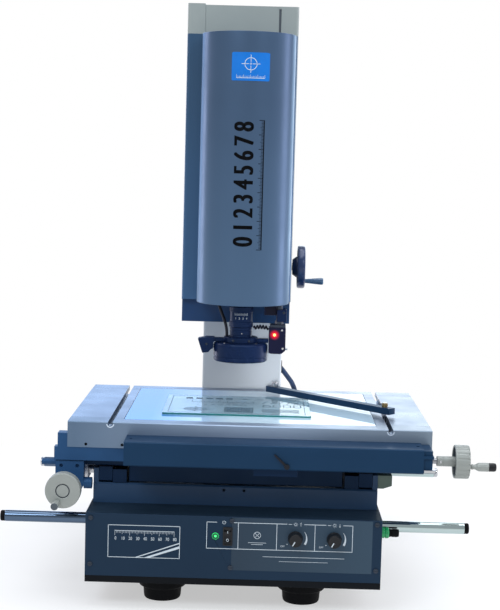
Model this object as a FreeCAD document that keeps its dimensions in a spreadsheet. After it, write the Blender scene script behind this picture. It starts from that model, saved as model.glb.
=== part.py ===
import FreeCAD, Part
import Sketcher
import math
import os
from FreeCAD import Vector

# Bench-top video measuring machine: cast base, crossed-roller XY stage, cast
# column and a camera head on a vertical slide. All lengths are millimetres.
# Working frame: X to the right, Y away from the operator, Z up; X = 0 is the
# middle of the base, Y = 0 the front panel, Z = 0 the standing surface. Every
# sub-part's Placement then moves it to the library origin (the cells
# origin_shift_x and origin_shift_y), the middle of the bottom of the whole box.

doc = FreeCAD.newDocument("vision_measuring_machine")
sheet = doc.addObject("Spreadsheet::Sheet", "Dims")
sheet.Label = "Dims"


class Size:
    """A number together with the spreadsheet expression that it comes from."""

    def __init__(self, value, text):
        self.value = float(value)
        self.text = text

    def _join(self, other, sign, value, swap=False):
        other_text = other.text if isinstance(other, Size) else repr(float(other))
        if other_text.startswith("-"):
            other_text = "(" + other_text + ")"
        a, b = (other_text, self.text) if swap else (self.text, other_text)
        return Size(value, "(" + a + " " + sign + " " + b + ")")

    def __add__(self, o):
        return self._join(o, "+", self.value + num(o))

    def __radd__(self, o):
        return self._join(o, "+", num(o) + self.value, True)

    def __sub__(self, o):
        return self._join(o, "-", self.value - num(o))

    def __rsub__(self, o):
        return self._join(o, "-", num(o) - self.value, True)

    def __mul__(self, o):
        return self._join(o, "*", self.value * num(o))

    def __rmul__(self, o):
        return self._join(o, "*", num(o) * self.value, True)

    def __truediv__(self, o):
        return self._join(o, "/", self.value / num(o))

    def __neg__(self):
        return Size(-self.value, "(0 - " + self.text + ")")


def num(v):
    return v.value if isinstance(v, Size) else float(v)


row = [0]


def dim(name, value):
    row[0] += 1
    sheet.set("A%d" % row[0], name)
    sheet.set("B%d" % row[0], repr(float(value)))
    sheet.setAlias("B%d" % row[0], name)
    return Size(value, "Dims." + name)


# ---- driving dimensions -------------------------------------------------
shift_x = dim("origin_shift_x", 16)
shift_y = dim("origin_shift_y", 294)

base_hw = dim("base_half_width", 200)
base_y1 = dim("base_back_y", 612)
base_z0 = dim("base_plate_bottom", 35)
base_plate = dim("base_plate_thick", 9)
base_top = dim("base_top", 130)
base_wall = dim("base_wall", 10)
base_deck = dim("base_deck_thick", 12)
panel_t = dim("panel_thick", 3)
foot_r = dim("foot_top_radius", 33)
foot_r2 = dim("foot_bottom_radius", 24.3)
foot_xa = dim("foot_left_x", -98)
foot_xb = dim("foot_right_x", 95)
foot_y0 = dim("foot_front_y", 60)
foot_y1 = dim("foot_rear_y", 540)
bar_r = dim("carry_bar_radius", 7.75)
bar_hl = dim("carry_bar_half_length", 318)
bar_z = dim("carry_bar_z", 109)
bar_y0 = dim("carry_bar_front_y", 56)
bar_y1 = dim("carry_bar_rear_y", 421)
cap_r = dim("carry_cap_radius", 7.4)
cap_t = dim("carry_cap_thick", 6)

knob_r = dim("panel_knob_radius", 10)
knob_z = dim("panel_knob_z", 102.8)
knob_xa = dim("contour_knob_x", 83.4)
knob_xb = dim("surface_knob_x", 135.7)
led_x = dim("power_lamp_x", -24.3)
rock_x = dim("rocker_x", -7.8)
ctl_z = dim("rocker_z", 103)

opt_y = dim("optical_axis_y", 211)
lamp_r = dim("contour_lamp_radius", 38)

bed_hw = dim("bed_half_width", 197)
bed_y0 = dim("bed_front_y", 62)
bed_y1 = dim("bed_back_y", 420)
bed_z1 = dim("bed_top", 158)

yr_in = dim("y_rail_inner_x", 152)
yr_w = dim("rail_bar_width", 18)
yr_gap = dim("rail_gap", 1)
yr_y0 = dim("y_rail_front_y", 64)
yr_y1 = dim("y_rail_back_y", 364)

sad_hw = dim("saddle_half_width", 250)
sad_y0 = dim("saddle_front_y", 66)
sad_y1 = dim("saddle_back_y", 356)
sad_z0 = dim("saddle_bottom", 181)
sad_z1 = dim("saddle_top", 200)
sad_win = dim("saddle_window_half", 80)

st_x0 = dim("stage_left_x", -232)
st_x1 = dim("stage_right_x", 268)
st_y0 = dim("stage_front_y", 46)
st_y1 = dim("stage_back_y", 376)
st_z0 = dim("stage_bottom", 210)
st_z1 = dim("stage_top", 246)
st_rail = dim("stage_rail_depth", 35)
gl_x0 = dim("glass_left_x", -157)
gl_x1 = dim("glass_right_x", 193)
gl_y0 = dim("glass_front_y", 71)
gl_y1 = dim("glass_back_y", 351)
gl_t = dim("glass_thick", 8)
ts_xa = dim("slot_left_x", -173.5)
ts_xb = dim("slot_right_x", 211)
ts_neck = dim("slot_neck_width", 6.5)
ts_wide = dim("slot_wide_width", 12)
ts_nd = dim("slot_neck_depth", 7)
ts_wd = dim("slot_wide_depth", 7)

xs_x0 = dim("x_scale_left_x", -150)
xs_x1 = dim("x_scale_right_x", 252)
xs_y0 = dim("x_scale_front_y", -4)
xs_z0 = dim("x_scale_bottom", 196)
xs_z1 = dim("x_scale_top", 229)

xd_y = dim("x_drive_y", 54)
xd_z = dim("x_drive_z", 203)
rod_r = dim("drive_rod_radius", 3.85)
xw_r = dim("x_wheel_radius", 23.2)
yd_x = dim("y_drive_x", -231.5)
yd_z = dim("y_drive_z", 158.5)
yw_r = dim("y_wheel_radius", 24.2)

col_hw = dim("column_half_width", 65)
col_y0 = dim("column_front_y", 462)
col_y1 = dim("column_back_y", 586)
col_top = dim("column_top", 846)
col_wall = dim("column_wall", 12)
pad_x0 = dim("guide_pad_left_x", -73)
pad_x1 = dim("guide_pad_right_x", 49)
pad_y0 = dim("guide_pad_front_y", 446)
pad_z0 = dim("guide_pad_bottom", 385)
hs_x0 = dim("housing_left_x", -101)
hs_x1 = dim("housing_right_x", 77)
hs_y0 = dim("housing_front_y", 440)
hs_y1 = dim("housing_back_y", 592)
hs_z0 = dim("housing_bottom", 380)
hs_z1 = dim("housing_top", 856)
hs_z2 = dim("housing_roof", 854)
hs_zo = dim("housing_opening_top", 798)
hs_t = dim("housing_wall", 3)
zs_y = dim("z_shaft_y", 496)
zs_z = dim("z_shaft_z", 434)
zs_r = dim("z_shaft_radius", 6)
zw_r = dim("z_wheel_radius", 35.5)
pin_m = dim("pinion_module", 1)
pin_n = dim("pinion_teeth", 16)
zr_w = dim("z_rail_width", 15)
zr_xa = dim("z_rail_left_x", -52)
zr_xb = dim("z_rail_right_x", 28)

hc_x0 = dim("head_left_x", -93)
hc_x1 = dim("head_right_x", 73)
hc_y0 = dim("head_front_y", 290)
hc_y1 = dim("head_back_y", 438)
hc_z0 = dim("head_bottom", 395)
hc_z1 = dim("head_top", 795)
cv_x = dim("cover_centre_x", 1)
cv_r = dim("cover_radius", 68.7)
cv_yc = dim("cover_arc_centre_y", 241)
cv_z0 = dim("cover_bottom", 397)
cv_z1 = dim("cover_top", 791)
cv_t = dim("cover_wall", 2.5)
ring_r = dim("ring_light_radius", 39.8)
ring_z0 = dim("ring_light_bottom", 314)
ring_z1 = dim("ring_light_top", 341)
barrel_r = dim("lens_barrel_radius", 17.5)
doc.recompute()

# ---- construction helpers -----------------------------------------------
PLANES = {"XY": "XY_Plane", "XZ": "XZ_Plane", "YZ": "YZ_Plane"}
nodes = {}
count = [0]


def bind(obj, prop, v):
    if isinstance(v, Size):
        obj.setExpression(prop, v.text)
    else:
        obj.setExpression(prop, repr(float(v)))


def fresh(prefix):
    count[0] += 1
    return "%s_%d" % (prefix, count[0])


def rect(x0, y0, x1, y1):
    return ("poly", [(x0, y0), (x1, y0), (x1, y1), (x0, y1)])


def poly(points):
    return ("poly", points)


def circ(x, y, r):
    return ("circ", x, y, r)


def path(start, steps):
    return ("path", start, steps)


def sketch(body, plane, loops, offset=0.0, origin=(0.0, 0.0)):
    """A closed profile on one of the body's own origin planes.

    The plane's local axes are X,Y (XY), X,Z (XZ) and Y,Z (YZ)."""
    sk = body.newObject("Sketcher::SketchObject", fresh("profile"))
    ref = [f for f in body.Origin.OriginFeatures if f.Role == PLANES[plane]][0]
    sk.AttachmentSupport = (ref, [""])
    sk.MapMode = "FlatFace"
    ax, ay = origin
    bind(sk, "AttachmentOffset.Base.x", ax)
    bind(sk, "AttachmentOffset.Base.y", ay)
    bind(sk, "AttachmentOffset.Base.z", -offset if plane == "XZ" else offset)

    def hold(geo, pos, x, y):
        for kind, v in (("DistanceX", x), ("DistanceY", y)):
            c = sk.addConstraint(Sketcher.Constraint(kind, -1, 1, geo, pos, num(v)))
            if isinstance(v, Size):
                sk.setExpression("Constraints[%d]" % c, v.text)

    for loop in loops:
        g0 = sk.GeometryCount
        if loop[0] == "circ":
            _, x, y, r = loop
            sk.addGeometry(Part.Circle(Vector(num(x), num(y), 0), Vector(0, 0, 1), num(r)), False)
            hold(g0, 3, x, y)
            c = sk.addConstraint(Sketcher.Constraint("Radius", g0, num(r)))
            if isinstance(r, Size):
                sk.setExpression("Constraints[%d]" % c, r.text)
            continue
        if loop[0] == "poly":
            pts = loop[1]
            n = len(pts)
            for i in range(n):
                a, b = pts[i], pts[(i + 1) % n]
                sk.addGeometry(Part.LineSegment(Vector(num(a[0]), num(a[1]), 0),
                                                Vector(num(b[0]), num(b[1]), 0)), False)
            for i in range(n):
                sk.addConstraint(Sketcher.Constraint("Coincident", g0 + i, 2, g0 + (i + 1) % n, 1))
                hold(g0 + i, 1, *pts[i])
            continue
        # a path of straight lines and three-point arcs
        start, steps = loop[1], loop[2]
        here = start
        ends = []
        for step in steps:
            a = Vector(num(here[0]), num(here[1]), 0)
            if step[0] == "L":
                b = Vector(num(step[1][0]), num(step[1][1]), 0)
                sk.addGeometry(Part.LineSegment(a, b), False)
                ends.append((here, 1, 2))
                here = step[1]
            else:
                m = Vector(num(step[1][0]), num(step[1][1]), 0)
                b = Vector(num(step[2][0]), num(step[2][1]), 0)
                arc = Part.Arc(a, m, b)
                circle = arc.Circle if hasattr(arc, "Circle") else Part.Circle(a, m, b)
                cen = circle.Center
                t0 = math.atan2(a.y - cen.y, a.x - cen.x)
                t1 = math.atan2(b.y - cen.y, b.x - cen.x)
                turn = (a - m).cross(b - m).z
                if turn < 0:
                    g = Part.ArcOfCircle(Part.Circle(cen, Vector(0, 0, 1), circle.Radius), t0,
                                         t1 if t1 > t0 else t1 + 2 * math.pi)
                    ends.append((here, 1, 2))
                else:
                    g = Part.ArcOfCircle(Part.Circle(cen, Vector(0, 0, 1), circle.Radius), t1,
                                         t0 if t0 > t1 else t0 + 2 * math.pi)
                    ends.append((here, 2, 1))
                sk.addGeometry(g, False)
                here = step[2]
        n = len(ends)
        for i in range(n):
            sk.addConstraint(Sketcher.Constraint("Coincident", g0 + i, ends[i][2],
                                                 g0 + (i + 1) % n, ends[(i + 1) % n][1]))
            hold(g0 + i, ends[i][1], *ends[i][0])
        # each arc's centre is held across its chord; step[3] is that coordinate
        here = start
        for i, step in enumerate(steps):
            if step[0] == "A":
                flat = abs(num(step[2][0]) - num(here[0])) > abs(num(step[2][1]) - num(here[1]))
                c = sk.addConstraint(Sketcher.Constraint("DistanceY" if flat else "DistanceX", -1, 1,
                                                         g0 + i, 3, num(step[3])))
                if isinstance(step[3], Size):
                    sk.setExpression("Constraints[%d]" % c, step[3].text)
                here = step[2]
            else:
                here = step[1]
    return sk


def new_body(label):
    b = doc.addObject("PartDesign::Body", label)
    b.Label = label
    return b


def pad(b, plane, loops, a0, a1):
    """Material from a0 to a1 along the plane's axis (+Z, +Y or +X)."""
    top = a1 if plane == "XZ" else a0
    sk = sketch(b, plane, loops, a1 if plane == "XZ" else a0)
    f = b.newObject("PartDesign::Pad", fresh("pad"))
    f.Profile = sk
    bind(f, "Length", Size(num(a1) - num(a0), text_of(a1) + " - " + text_of(a0)))
    return f


def cut(b, plane, loops, a0, a1):
    """Material removed from a0 to a1 along the plane's axis."""
    before = None
    sk = sketch(b, plane, loops, a0 if plane == "XZ" else a1)
    f = b.newObject("PartDesign::Pocket", fresh("cut"))
    f.Profile = sk
    bind(f, "Length", Size(num(a1) - num(a0), text_of(a1) + " - " + text_of(a0)))
    cuts.append((b, f))
    return f


cuts = []


def text_of(v):
    if isinstance(v, Size):
        return v.text
    return "(" + repr(float(v)) + ")" if float(v) < 0 else repr(float(v))


def turned(b, axis, centre, profile, remove=False):
    """A profile of (radius, height along the axis) points turned about an axis
    parallel to Z, Y or X through centre (the two other coordinates)."""
    if axis == "Z":
        plane, origin, off = "XZ", (centre[0], 0.0), centre[1]
        pts = [(r, h) for r, h in profile]
        ref = "V_Axis"
    elif axis == "X":
        plane, origin, off = "XZ", (0.0, centre[1]), centre[0]
        pts = [(h, r) for r, h in profile]
        ref = "H_Axis"
    else:
        plane, origin, off = "YZ", (0.0, centre[1]), centre[0]
        pts = [(h, r) for r, h in profile]
        ref = "H_Axis"
    sk = sketch(b, plane, [poly(pts)], off, origin)
    f = b.newObject("PartDesign::Groove" if remove else "PartDesign::Revolution", fresh("turn"))
    f.Profile = sk
    f.ReferenceAxis = (sk, [ref])
    f.Angle = 360.0
    return f


def round_edges(b, radius, pick, chamfer=False):
    doc.recompute()
    base = b.Tip
    names = ["Edge%d" % (i + 1) for i, e in enumerate(base.Shape.Edges) if pick(e)]
    f = b.newObject("PartDesign::Chamfer" if chamfer else "PartDesign::Fillet", fresh("edge"))
    f.Base = (base, names)
    bind(f, "Size" if chamfer else "Radius", radius)
    return f


def near(v, w, tol=0.05):
    return abs(v - num(w)) < tol


def along(e, axis):
    """True for a straight edge parallel to the named axis."""
    if len(e.Vertexes) != 2 or e.Curve.TypeId != "Part::GeomLine":
        return False
    d = e.Vertexes[1].Point - e.Vertexes[0].Point
    d.normalize()
    return abs(getattr(d, axis)) > 0.999


def mid(e):
    return e.BoundBox.Center


def shifted(obj):
    bind(obj, "Placement.Base.x", -shift_x)
    bind(obj, "Placement.Base.y", -shift_y)
    nodes[obj.Label] = obj
    return obj


def box(x0, x1, y0, y1, z0, z1):
    o = doc.addObject("Part::Box", fresh("block"))
    for prop, lo, hi in (("Length", x0, x1), ("Width", y0, y1), ("Height", z0, z1)):
        bind(o, prop, Size(num(hi) - num(lo), text_of(hi) + " - " + text_of(lo)))
    bind(o, "Placement.Base.x", x0)
    bind(o, "Placement.Base.y", y0)
    bind(o, "Placement.Base.z", z0)
    return o


def cyl(axis, ca, cb, r, a0, a1):
    """A cylinder along X, Y or Z; ca and cb are its centre's other two coordinates."""
    o = doc.addObject("Part::Cylinder", fresh("round"))
    bind(o, "Radius", r)
    bind(o, "Height", Size(num(a1) - num(a0), text_of(a1) + " - " + text_of(a0)))
    rot = {"Z": FreeCAD.Rotation(), "X": FreeCAD.Rotation(Vector(0, 1, 0), 90),
           "Y": FreeCAD.Rotation(Vector(1, 0, 0), -90)}[axis]
    o.Placement = FreeCAD.Placement(Vector(0, 0, 0), rot)
    at = {"Z": (ca, cb, a0), "X": (a0, ca, cb), "Y": (ca, a0, cb)}[axis]
    for name, v in zip("xyz", at):
        bind(o, "Placement.Base." + name, v)
    return o


def join(objs, label=None):
    if len(objs) == 1:
        return objs[0]
    o = doc.addObject("Part::MultiFuse", label or fresh("join"))
    o.Shapes = objs
    return o


def less(base, tools, label=None):
    o = doc.addObject("Part::Cut", label or fresh("less"))
    o.Base = base
    o.Tool = tools[0] if len(tools) == 1 else join(tools)
    return o


def group(label, objs):
    """Separate solids that share one node."""
    o = doc.addObject("Part::Compound", label)
    o.Links = objs
    o.Label = label
    return shifted(o)


def named(label, obj):
    obj.Label = label
    return shifted(obj)


# ======================= base ============================================
b = new_body("base_casting")
pad(b, "XY", [rect(-base_hw, panel_t, base_hw, base_y1)], base_z0 + base_plate, base_top)
cut(b, "XY", [rect(-base_hw + base_wall, panel_t + base_deck, base_hw - base_wall, 436)],
    base_z0 + base_plate, base_top - base_deck)
cut(b, "XY", [rect(-base_hw + base_wall, 448, base_hw - base_wall, base_y1 - base_deck)],
    base_z0 + base_plate, base_top - base_deck)
# window behind the front panel, lamp opening, cable holes
cut(b, "XZ", [rect(-180, 52, 180, 118)], panel_t - 1, panel_t + base_deck + 1)
cut(b, "XY", [circ(0, opt_y, lamp_r + 1)], base_top - base_deck - 1, base_top + 1)
cut(b, "YZ", [circ(bar_y0, bar_z, bar_r - 0.22), circ(bar_y1, bar_z, bar_r - 0.22)],
    -base_hw - 1, base_hw + 1)
cut(b, "YZ", [circ(34, 105.5, 6.05)], base_hw - base_wall - 1, base_hw + 1)
cut(b, "XZ", [rect(110, 66, 138, 90)], base_y1 - base_deck - 1, base_y1 + 1)
cut(b, "XZ", [rect(-20, 60, 20, 90)], 430, 454)
cut(b, "XY", [circ(99, 520, 5)], base_top - base_deck - 1, base_top + 1)
cut(b, "XY", [circ(x, y, 4.5) for x in (-80, 80) for y in (470, 590)], 121, base_top + 1)
round_edges(b, 4, lambda e: along(e, "z") and near(abs(mid(e).x), base_hw) and near(mid(e).y, base_y1))
named("base_casting", b)

b = new_body("bottom_plate")
pad(b, "XY", [rect(-base_hw, 0, base_hw, base_y1)], base_z0, base_z0 + base_plate)
cut(b, "XY", [rect(-90 + 36 * i, 250, -72 + 36 * i, 254) for i in range(6)],
    base_z0 - 1, base_z0 + base_plate + 1)
named("bottom_plate", b)

screw_at = [(-193, 123.5), (-193, 60), (-2.5, 124.5), (-3.5, 60), (193, 124.5), (193, 61)]
b = new_body("front_panel")
pad(b, "XZ", [rect(-base_hw, base_z0 + base_plate, base_hw, base_top)], 0, panel_t)
cut(b, "XZ", [circ(led_x, ctl_z, 3.3), circ(knob_xa, knob_z, 3.3), circ(knob_xb, knob_z, 3.3),
              rect(rock_x - 5, ctl_z - 11.2, rock_x + 5, ctl_z + 11.2)], -1, panel_t + 1)
cut(b, "XZ", [circ(x, z, 1.6) for x, z in screw_at], -1, panel_t + 1)
named("front_panel", b)

fit = []
for x, z in screw_at:
    fit.append(less(join([cyl("Y", x, z, 3.2, -1.6, 0), cyl("Y", x, z, 1.5, 0, panel_t)]),
                    [box(x - 3.4, x + 3.4, -1.7, -0.9, z - 0.4, z + 0.4)]))
led = less(join([cyl("Y", led_x, ctl_z, 4.4, -1.4, 0), cyl("Y", led_x, ctl_z, 3.2, -0.5, 12)]),
           [cyl("Y", led_x, ctl_z, 2.2, -1.5, -0.9)])
for x in (-80, 80):
    for y in (470, 590):
        fit.append(join([cyl("Z", x, y, 4.3, 122, base_top + 18), cyl("Z", x, y, 6.5, base_top + 18, base_top + 26)]))
group("panel_and_column_screws", fit)

feet = []
for i, (fx, fy) in enumerate(((foot_xa, foot_y0), (foot_xb, foot_y0), (foot_xa, foot_y1), (foot_xb, foot_y1))):
    b = new_body("foot_%d" % (i + 1))
    turned(b, "Z", (fx, fy),
           [(5, 12), (5, 35), (foot_r, 35), (foot_r, 20), (foot_r - 2, 17.5), (foot_r2 + 2.2, 15.5),
            (foot_r2 + 1.2, 3), (foot_r2, 0), (10, 0), (10, 12)])
    feet.append(b)
group("rubber_feet", feet)

bars = []
for y in (bar_y0, bar_y1):
    # the free ends are full size, the middle that passes through the casting is turned down
    b = new_body(fresh("carry_bar"))
    turned(b, "X", (y, bar_z), [(0, -bar_hl), (bar_r, -bar_hl), (bar_r, -base_hw - 2), (bar_r - 0.3, -base_hw - 2),
                                (bar_r - 0.3, base_hw + 2), (bar_r, base_hw + 2), (bar_r, bar_hl), (0, bar_hl)])
    bars.append(b)
    for s in (-1, 1):
        a0, a1 = (bar_hl, bar_hl + cap_t) if s > 0 else (-bar_hl - cap_t, -bar_hl)
        bars.append(cyl("X", y, bar_z, cap_r, a0, a1))
group("carrying_rods", bars)

b = new_body("mains_inlet")
plug = join([cyl("X", 34, 105.5, 6, 185, 208), cyl("X", 34, 105.5, 7.4, base_hw, 212),
             cyl("X", 34, 105.5, 5.6, 211, 226)])
doc.removeObject(b.Name)
inlet = less(join([box(100, 148, base_y1, base_y1 + 3, 62, 94), box(111, 137, base_y1 - 22, base_y1, 67, 89)]),
             [box(114, 134, base_y1 - 14, base_y1 + 4, 70, 86)])
blades = [box(118 + 5 * i - 0, 119.5 + 5 * i, base_y1 - 15, base_y1 - 2, 75 + (3 if i == 1 else 0), 79 + (3 if i == 1 else 0))
          for i in range(3)]
group("base_connectors", [plug, join([inlet] + blades)])

psu = less(box(-175, -45, 120, 280, base_z0 + base_plate, 95), [box(-170, -50, 125, 275, 88, 96)])
driver = join([box(30, 180, 60, 150, base_z0 + base_plate, 47), box(50, 80, 80, 120, 47, 68),
               box(110, 150, 80, 110, 47, 58)])
pots = [less(cyl("Y", x, knob_z, 8, 15.5, 26), [cyl("Y", x, knob_z, 3.06, 15, 24)]) for x in (knob_xa, knob_xb)]
switch = box(rock_x - 5.5, rock_x + 5.5, 16, 30, ctl_z - 11, ctl_z + 11)
group("lamp_power_unit", [psu, driver] + pots + [switch, led])

b = new_body("contour_lamp")
turned(b, "Z", (0, opt_y), [(0, 70), (lamp_r, 70), (lamp_r, 130), (lamp_r + 8, 130), (lamp_r + 8, 134),
                            (lamp_r, 134), (lamp_r, 152), (lamp_r - 6, 156), (0, 156)])
turned(b, "Z", (0, opt_y), [(0, 152), (28, 152), (28, 157), (0, 157)], True)
turned(b, "Z", (0, opt_y), [(0, 69), (30, 69), (30, 76), (0, 76)], True)
named("contour_lamp", b)

# ---- controls ------------------------------------------------------------
rot = math.radians(-7.0)


def tip(y, z):
    """Turn a point of the rocker's side view about its pin."""
    c, s = math.cos(rot), math.sin(rot)
    return (4 + (y - 4) * c - z * s, ctl_z + ((y - 4) * s + z * c))


b = new_body("power_rocker")
pad(b, "YZ", [poly([tip(-2.2, -10.4), tip(-0.6, 0), tip(-2.2, 10.4), tip(6, 9.4), tip(12, 3), tip(12, -3),
                    tip(6, -9.4)])], rock_x - 4.7, rock_x + 4.7)
pad(b, "YZ", [circ(4, ctl_z, 0.9)], rock_x - 6, rock_x + 6)
named("power_rocker", b)

for label, kx in (("contour_knob", knob_xa), ("surface_knob", knob_xb)):
    b = new_body(label)
    turned(b, "Y", (kx, knob_z), [(0, -15), (knob_r - 1.6, -15), (knob_r - 0.9, -14), (knob_r - 0.4, -3),
                                  (knob_r, -2.6), (knob_r, -0.4), (3.0, -0.4), (3.0, 23), (0, 23)])
    # pointer groove, at the off end of the dial (seven o'clock)
    cut(b, "XZ", [poly([(kx - 0.5 * r + 0.866 * w, knob_z - 0.866 * r - 0.5 * w)
                        for r, w in ((1, -0.6), (1, 0.6), (9, 0.6), (9, -0.6))])], -16, -14.2)
    named(label, b)

# ======================= Y bed ===========================================
b = new_body("y_bed")
pad(b, "XY", [rect(-bed_hw, bed_y0, bed_hw, bed_y1)], base_top, bed_z1)
cut(b, "XY", [rect(-60, 151, 60, 271)], base_top - 1, bed_z1 + 1)
cut(b, "XY", [rect(-180, 80, 180, 140), rect(-180, 282, 180, 405)], base_top - 1, bed_z1 - 10)
cut(b, "XZ", [circ(-16, 152, 2), circ(12, 152, 2)], bed_y0 - 1, bed_y0 + 10)
round_edges(b, 2, lambda e: along(e, "x") and near(mid(e).z, bed_z1) and near(mid(e).y, bed_y0), True)
# side flanges that shield the roller bars
pad(b, "XZ", [rect(190, bed_z1 - 4, bed_hw, 178), rect(-bed_hw, bed_z1 - 4, -190, 178)], 64, 366)
named("y_bed", b)


def rail_along_y(x0, x1, y0, y1, z0, z1, vee_x, side):
    """A crossed-roller bar with its V groove on one side face."""
    zc = (num(z0) + num(z1)) / 2
    b = new_body(fresh("bar"))
    d = 4.0
    if side > 0:
        pts = [(x0, z0), (x1, z0), (x1, zc - d), (x1 - d, zc), (x1, zc + d), (x1, z1), (x0, z1)]
    else:
        pts = [(x0, z0), (x1, z0), (x1, z1), (x0, z1), (x0, zc + d), (x0 + d, zc), (x0, zc - d)]
    pad(b, "XZ", [poly(pts)], y0, y1)
    return b


# lower bars on the bed, upper bars under the saddle, grooves facing each other
yb0, yb1 = yr_in, yr_in + yr_w
yu0 = yb1 + yr_gap
yu1 = yu0 + yr_w
group("y_rails_lower", [rail_along_y(yb0, yb1, yr_y0, yr_y1, bed_z1, 176, 0, 1),
                        rail_along_y(-yb1, -yb0, yr_y0, yr_y1, bed_z1, 176, 0, -1)])
group("y_rails_upper", [rail_along_y(yu0, yu1, yr_y0, yr_y1, 162, sad_z0, 0, -1),
                        rail_along_y(-yu1, -yu0, yr_y0, yr_y1, 162, sad_z0, 0, 1)])

b = new_body("y_scale_case")
pad(b, "XZ", [poly([(bed_hw, 178), (bed_hw, 159.3), (205, 159.3), (217, 163.4), (217, 178)])], 66, 366)
cut(b, "XZ", [rect(bed_hw + 3, 166, 214, 175)], 70, 362)
group("y_scale_unit", [b, box(bed_hw + 3, 204, 74, 358, 168, 173)])

b = new_body("y_drive_nut")
pad(b, "XZ", [rect(-244, 146, -213, 174)], 130, 170)
cut(b, "XZ", [circ(yd_x, yd_z, rod_r + 0.05)], 129, 171)
cut(b, "XZ", [rect(-245, yd_z - 0.5, yd_x, yd_z + 0.5)], 129, 171)
pad(b, "YZ", [circ(150, yd_z, 6.5)], -213.5, -bed_hw)
named("y_drive_nut", b)

# ======================= saddle ==========================================
b = new_body("saddle")
pad(b, "XY", [rect(-sad_hw, sad_y0, sad_hw, sad_y1)], sad_z0, sad_z1)
cut(b, "XY", [rect(-sad_win, opt_y - sad_win, sad_win, opt_y + sad_win)], sad_z0 - 1, sad_z1 + 1)
cut(b, "XY", [rect(-235, 100, -185, 325), rect(190, 100, 240, 325)], sad_z0 + 8, sad_z1 + 1)
# the right front corner makes room for the X handwheel at the end of its travel
cut(b, "XY", [rect(196, sad_y0 - 1, sad_hw + 1, 84)], sad_z0 - 1, sad_z1 + 1)
round_edges(b, 1.5, lambda e: along(e, "x") and near(mid(e).y, sad_y0), True)
# front skirt that closes the gap over the bed
pad(b, "XZ", [rect(-148, 160, 148, sad_z0 + 2)], sad_y0, sad_y0 + 8)
named("saddle", b)


def rail_along_x(x0, x1, y0, y1, z0, z1, side):
    zc = (num(z0) + num(z1)) / 2
    b = new_body(fresh("bar"))
    d = 2.0
    if side > 0:
        pts = [(y0, z0), (y1, z0), (y1, zc - d), (y1 - d, zc), (y1, zc + d), (y1, z1), (y0, z1)]
    else:
        pts = [(y0, z0), (y1, z0), (y1, z1), (y0, z1), (y0, zc + d), (y0 + d, zc), (y0, zc - d)]
    pad(b, "YZ", [poly(pts)], x0, x1)
    return b


group("x_rails_lower", [rail_along_x(-150, 150, 82, 94, sad_z1, 209.4, -1),
                        rail_along_x(-150, 150, 328, 340, sad_z1, 209.4, 1)])
group("x_rails_upper", [rail_along_x(-132, 168, 69, 81, 200.6, st_z0, 1),
                        rail_along_x(-132, 168, 341, 353, 200.6, st_z0, -1)])

b = new_body("x_drive_nut")
pad(b, "YZ", [rect(46.6, 188, sad_y0, 209)], -20, 20)
cut(b, "YZ", [circ(xd_y, xd_z, rod_r + 0.05)], -21, 21)
cut(b, "YZ", [rect(46, xd_z - 0.5, xd_y, xd_z + 0.5)], -21, 21)
named("x_drive_nut", b)

group("scale_readers", [join([box(24, 84, 8, 38, 185, 195.6), box(40, 68, 37, sad_y0, 185, 191)]),
                        box(217.8, 236, 180, 240, 158, sad_z0)])

b = new_body("y_drive_bracket_front")
pad(b, "XZ", [path((yd_x - 17, 160), [("L", (yd_x - 17, 190)), ("L", (yd_x + 22, 190)), ("L", (yd_x + 22, 160)),
                                      ("A", (yd_x + 2.5, 140.5), (yd_x - 17, 160), 160)])], 50, sad_y0)
cut(b, "XZ", [circ(yd_x, yd_z, rod_r + 0.05)], 49, sad_y0 + 1)
cut(b, "XZ", [circ(yd_x - 9, 183, 2.5), circ(yd_x + 13, 183, 2.5)], 49, 54)
b2 = new_body("y_drive_bracket_rear")
pad(b2, "XZ", [rect(yd_x - 15, 147, yd_x + 15, sad_z0)], 334, 350)
cut(b2, "XZ", [circ(yd_x, yd_z, rod_r + 0.05)], 333, 351)
# preload pin that presses the front bracket's rollers on the rod
pin = cyl("X", 58, 186.5, 4.3, -268, yd_x - 17)
boss = cyl("X", 58, 158, 8, yd_x + 22, -198.5)
group("y_drive_brackets", [b, b2, pin, boss])

# ---- Y handwheel (turns about Y) -----------------------------------------
group("y_drive_rod", [cyl("Y", yd_x, yd_z, rod_r, 6, 356)])
b = new_body("y_handwheel")
turned(b, "Y", (yd_x, yd_z), [(rod_r, 46), (9, 46), (10, 45), (10, 18), (20, 17), (21, 15),
                              (yw_r - 0.8, 15), (yw_r, 14.2), (yw_r, 1.8), (yw_r - 1.8, 0), (9.8, 0), (9.5, 1), (8.5, 1), (8.2, 0.2),
                              (rod_r, 0.2)])
ya = math.radians(205.0)
ykx, ykz = yd_x + 17 * math.sin(ya), yd_z + 17 * math.cos(ya)
cut(b, "XZ", [circ(ykx, ykz, 3)], -1, 20)
named("y_handwheel", b)
b = new_body("y_crank_knob")
turned(b, "Y", (ykx, ykz), [(0, -27), (4.4, -27), (5, -26.2), (5.2, -12), (4.2, -7), (4.2, -0.4), (2.9, -0.4), (2.9, 16),
                            (0, 16)])
named("y_crank_knob", b)

# ======================= stage ===========================================
def t_slots():
    out = []
    for x in (ts_xa, ts_xb):
        out.append(poly([(x - ts_neck / 2, st_z1 + 1), (x - ts_neck / 2, st_z1 - ts_nd),
                         (x - ts_wide / 2, st_z1 - ts_nd), (x - ts_wide / 2, st_z1 - ts_nd - ts_wd),
                         (x + ts_wide / 2, st_z1 - ts_nd - ts_wd), (x + ts_wide / 2, st_z1 - ts_nd),
                         (x + ts_neck / 2, st_z1 - ts_nd), (x + ts_neck / 2, st_z1 + 1)]))
    return out


b = new_body("stage_front_rail")
pad(b, "XY", [rect(st_x0, st_y0, st_x1, st_y0 + st_rail)], st_z0, st_z1)
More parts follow.
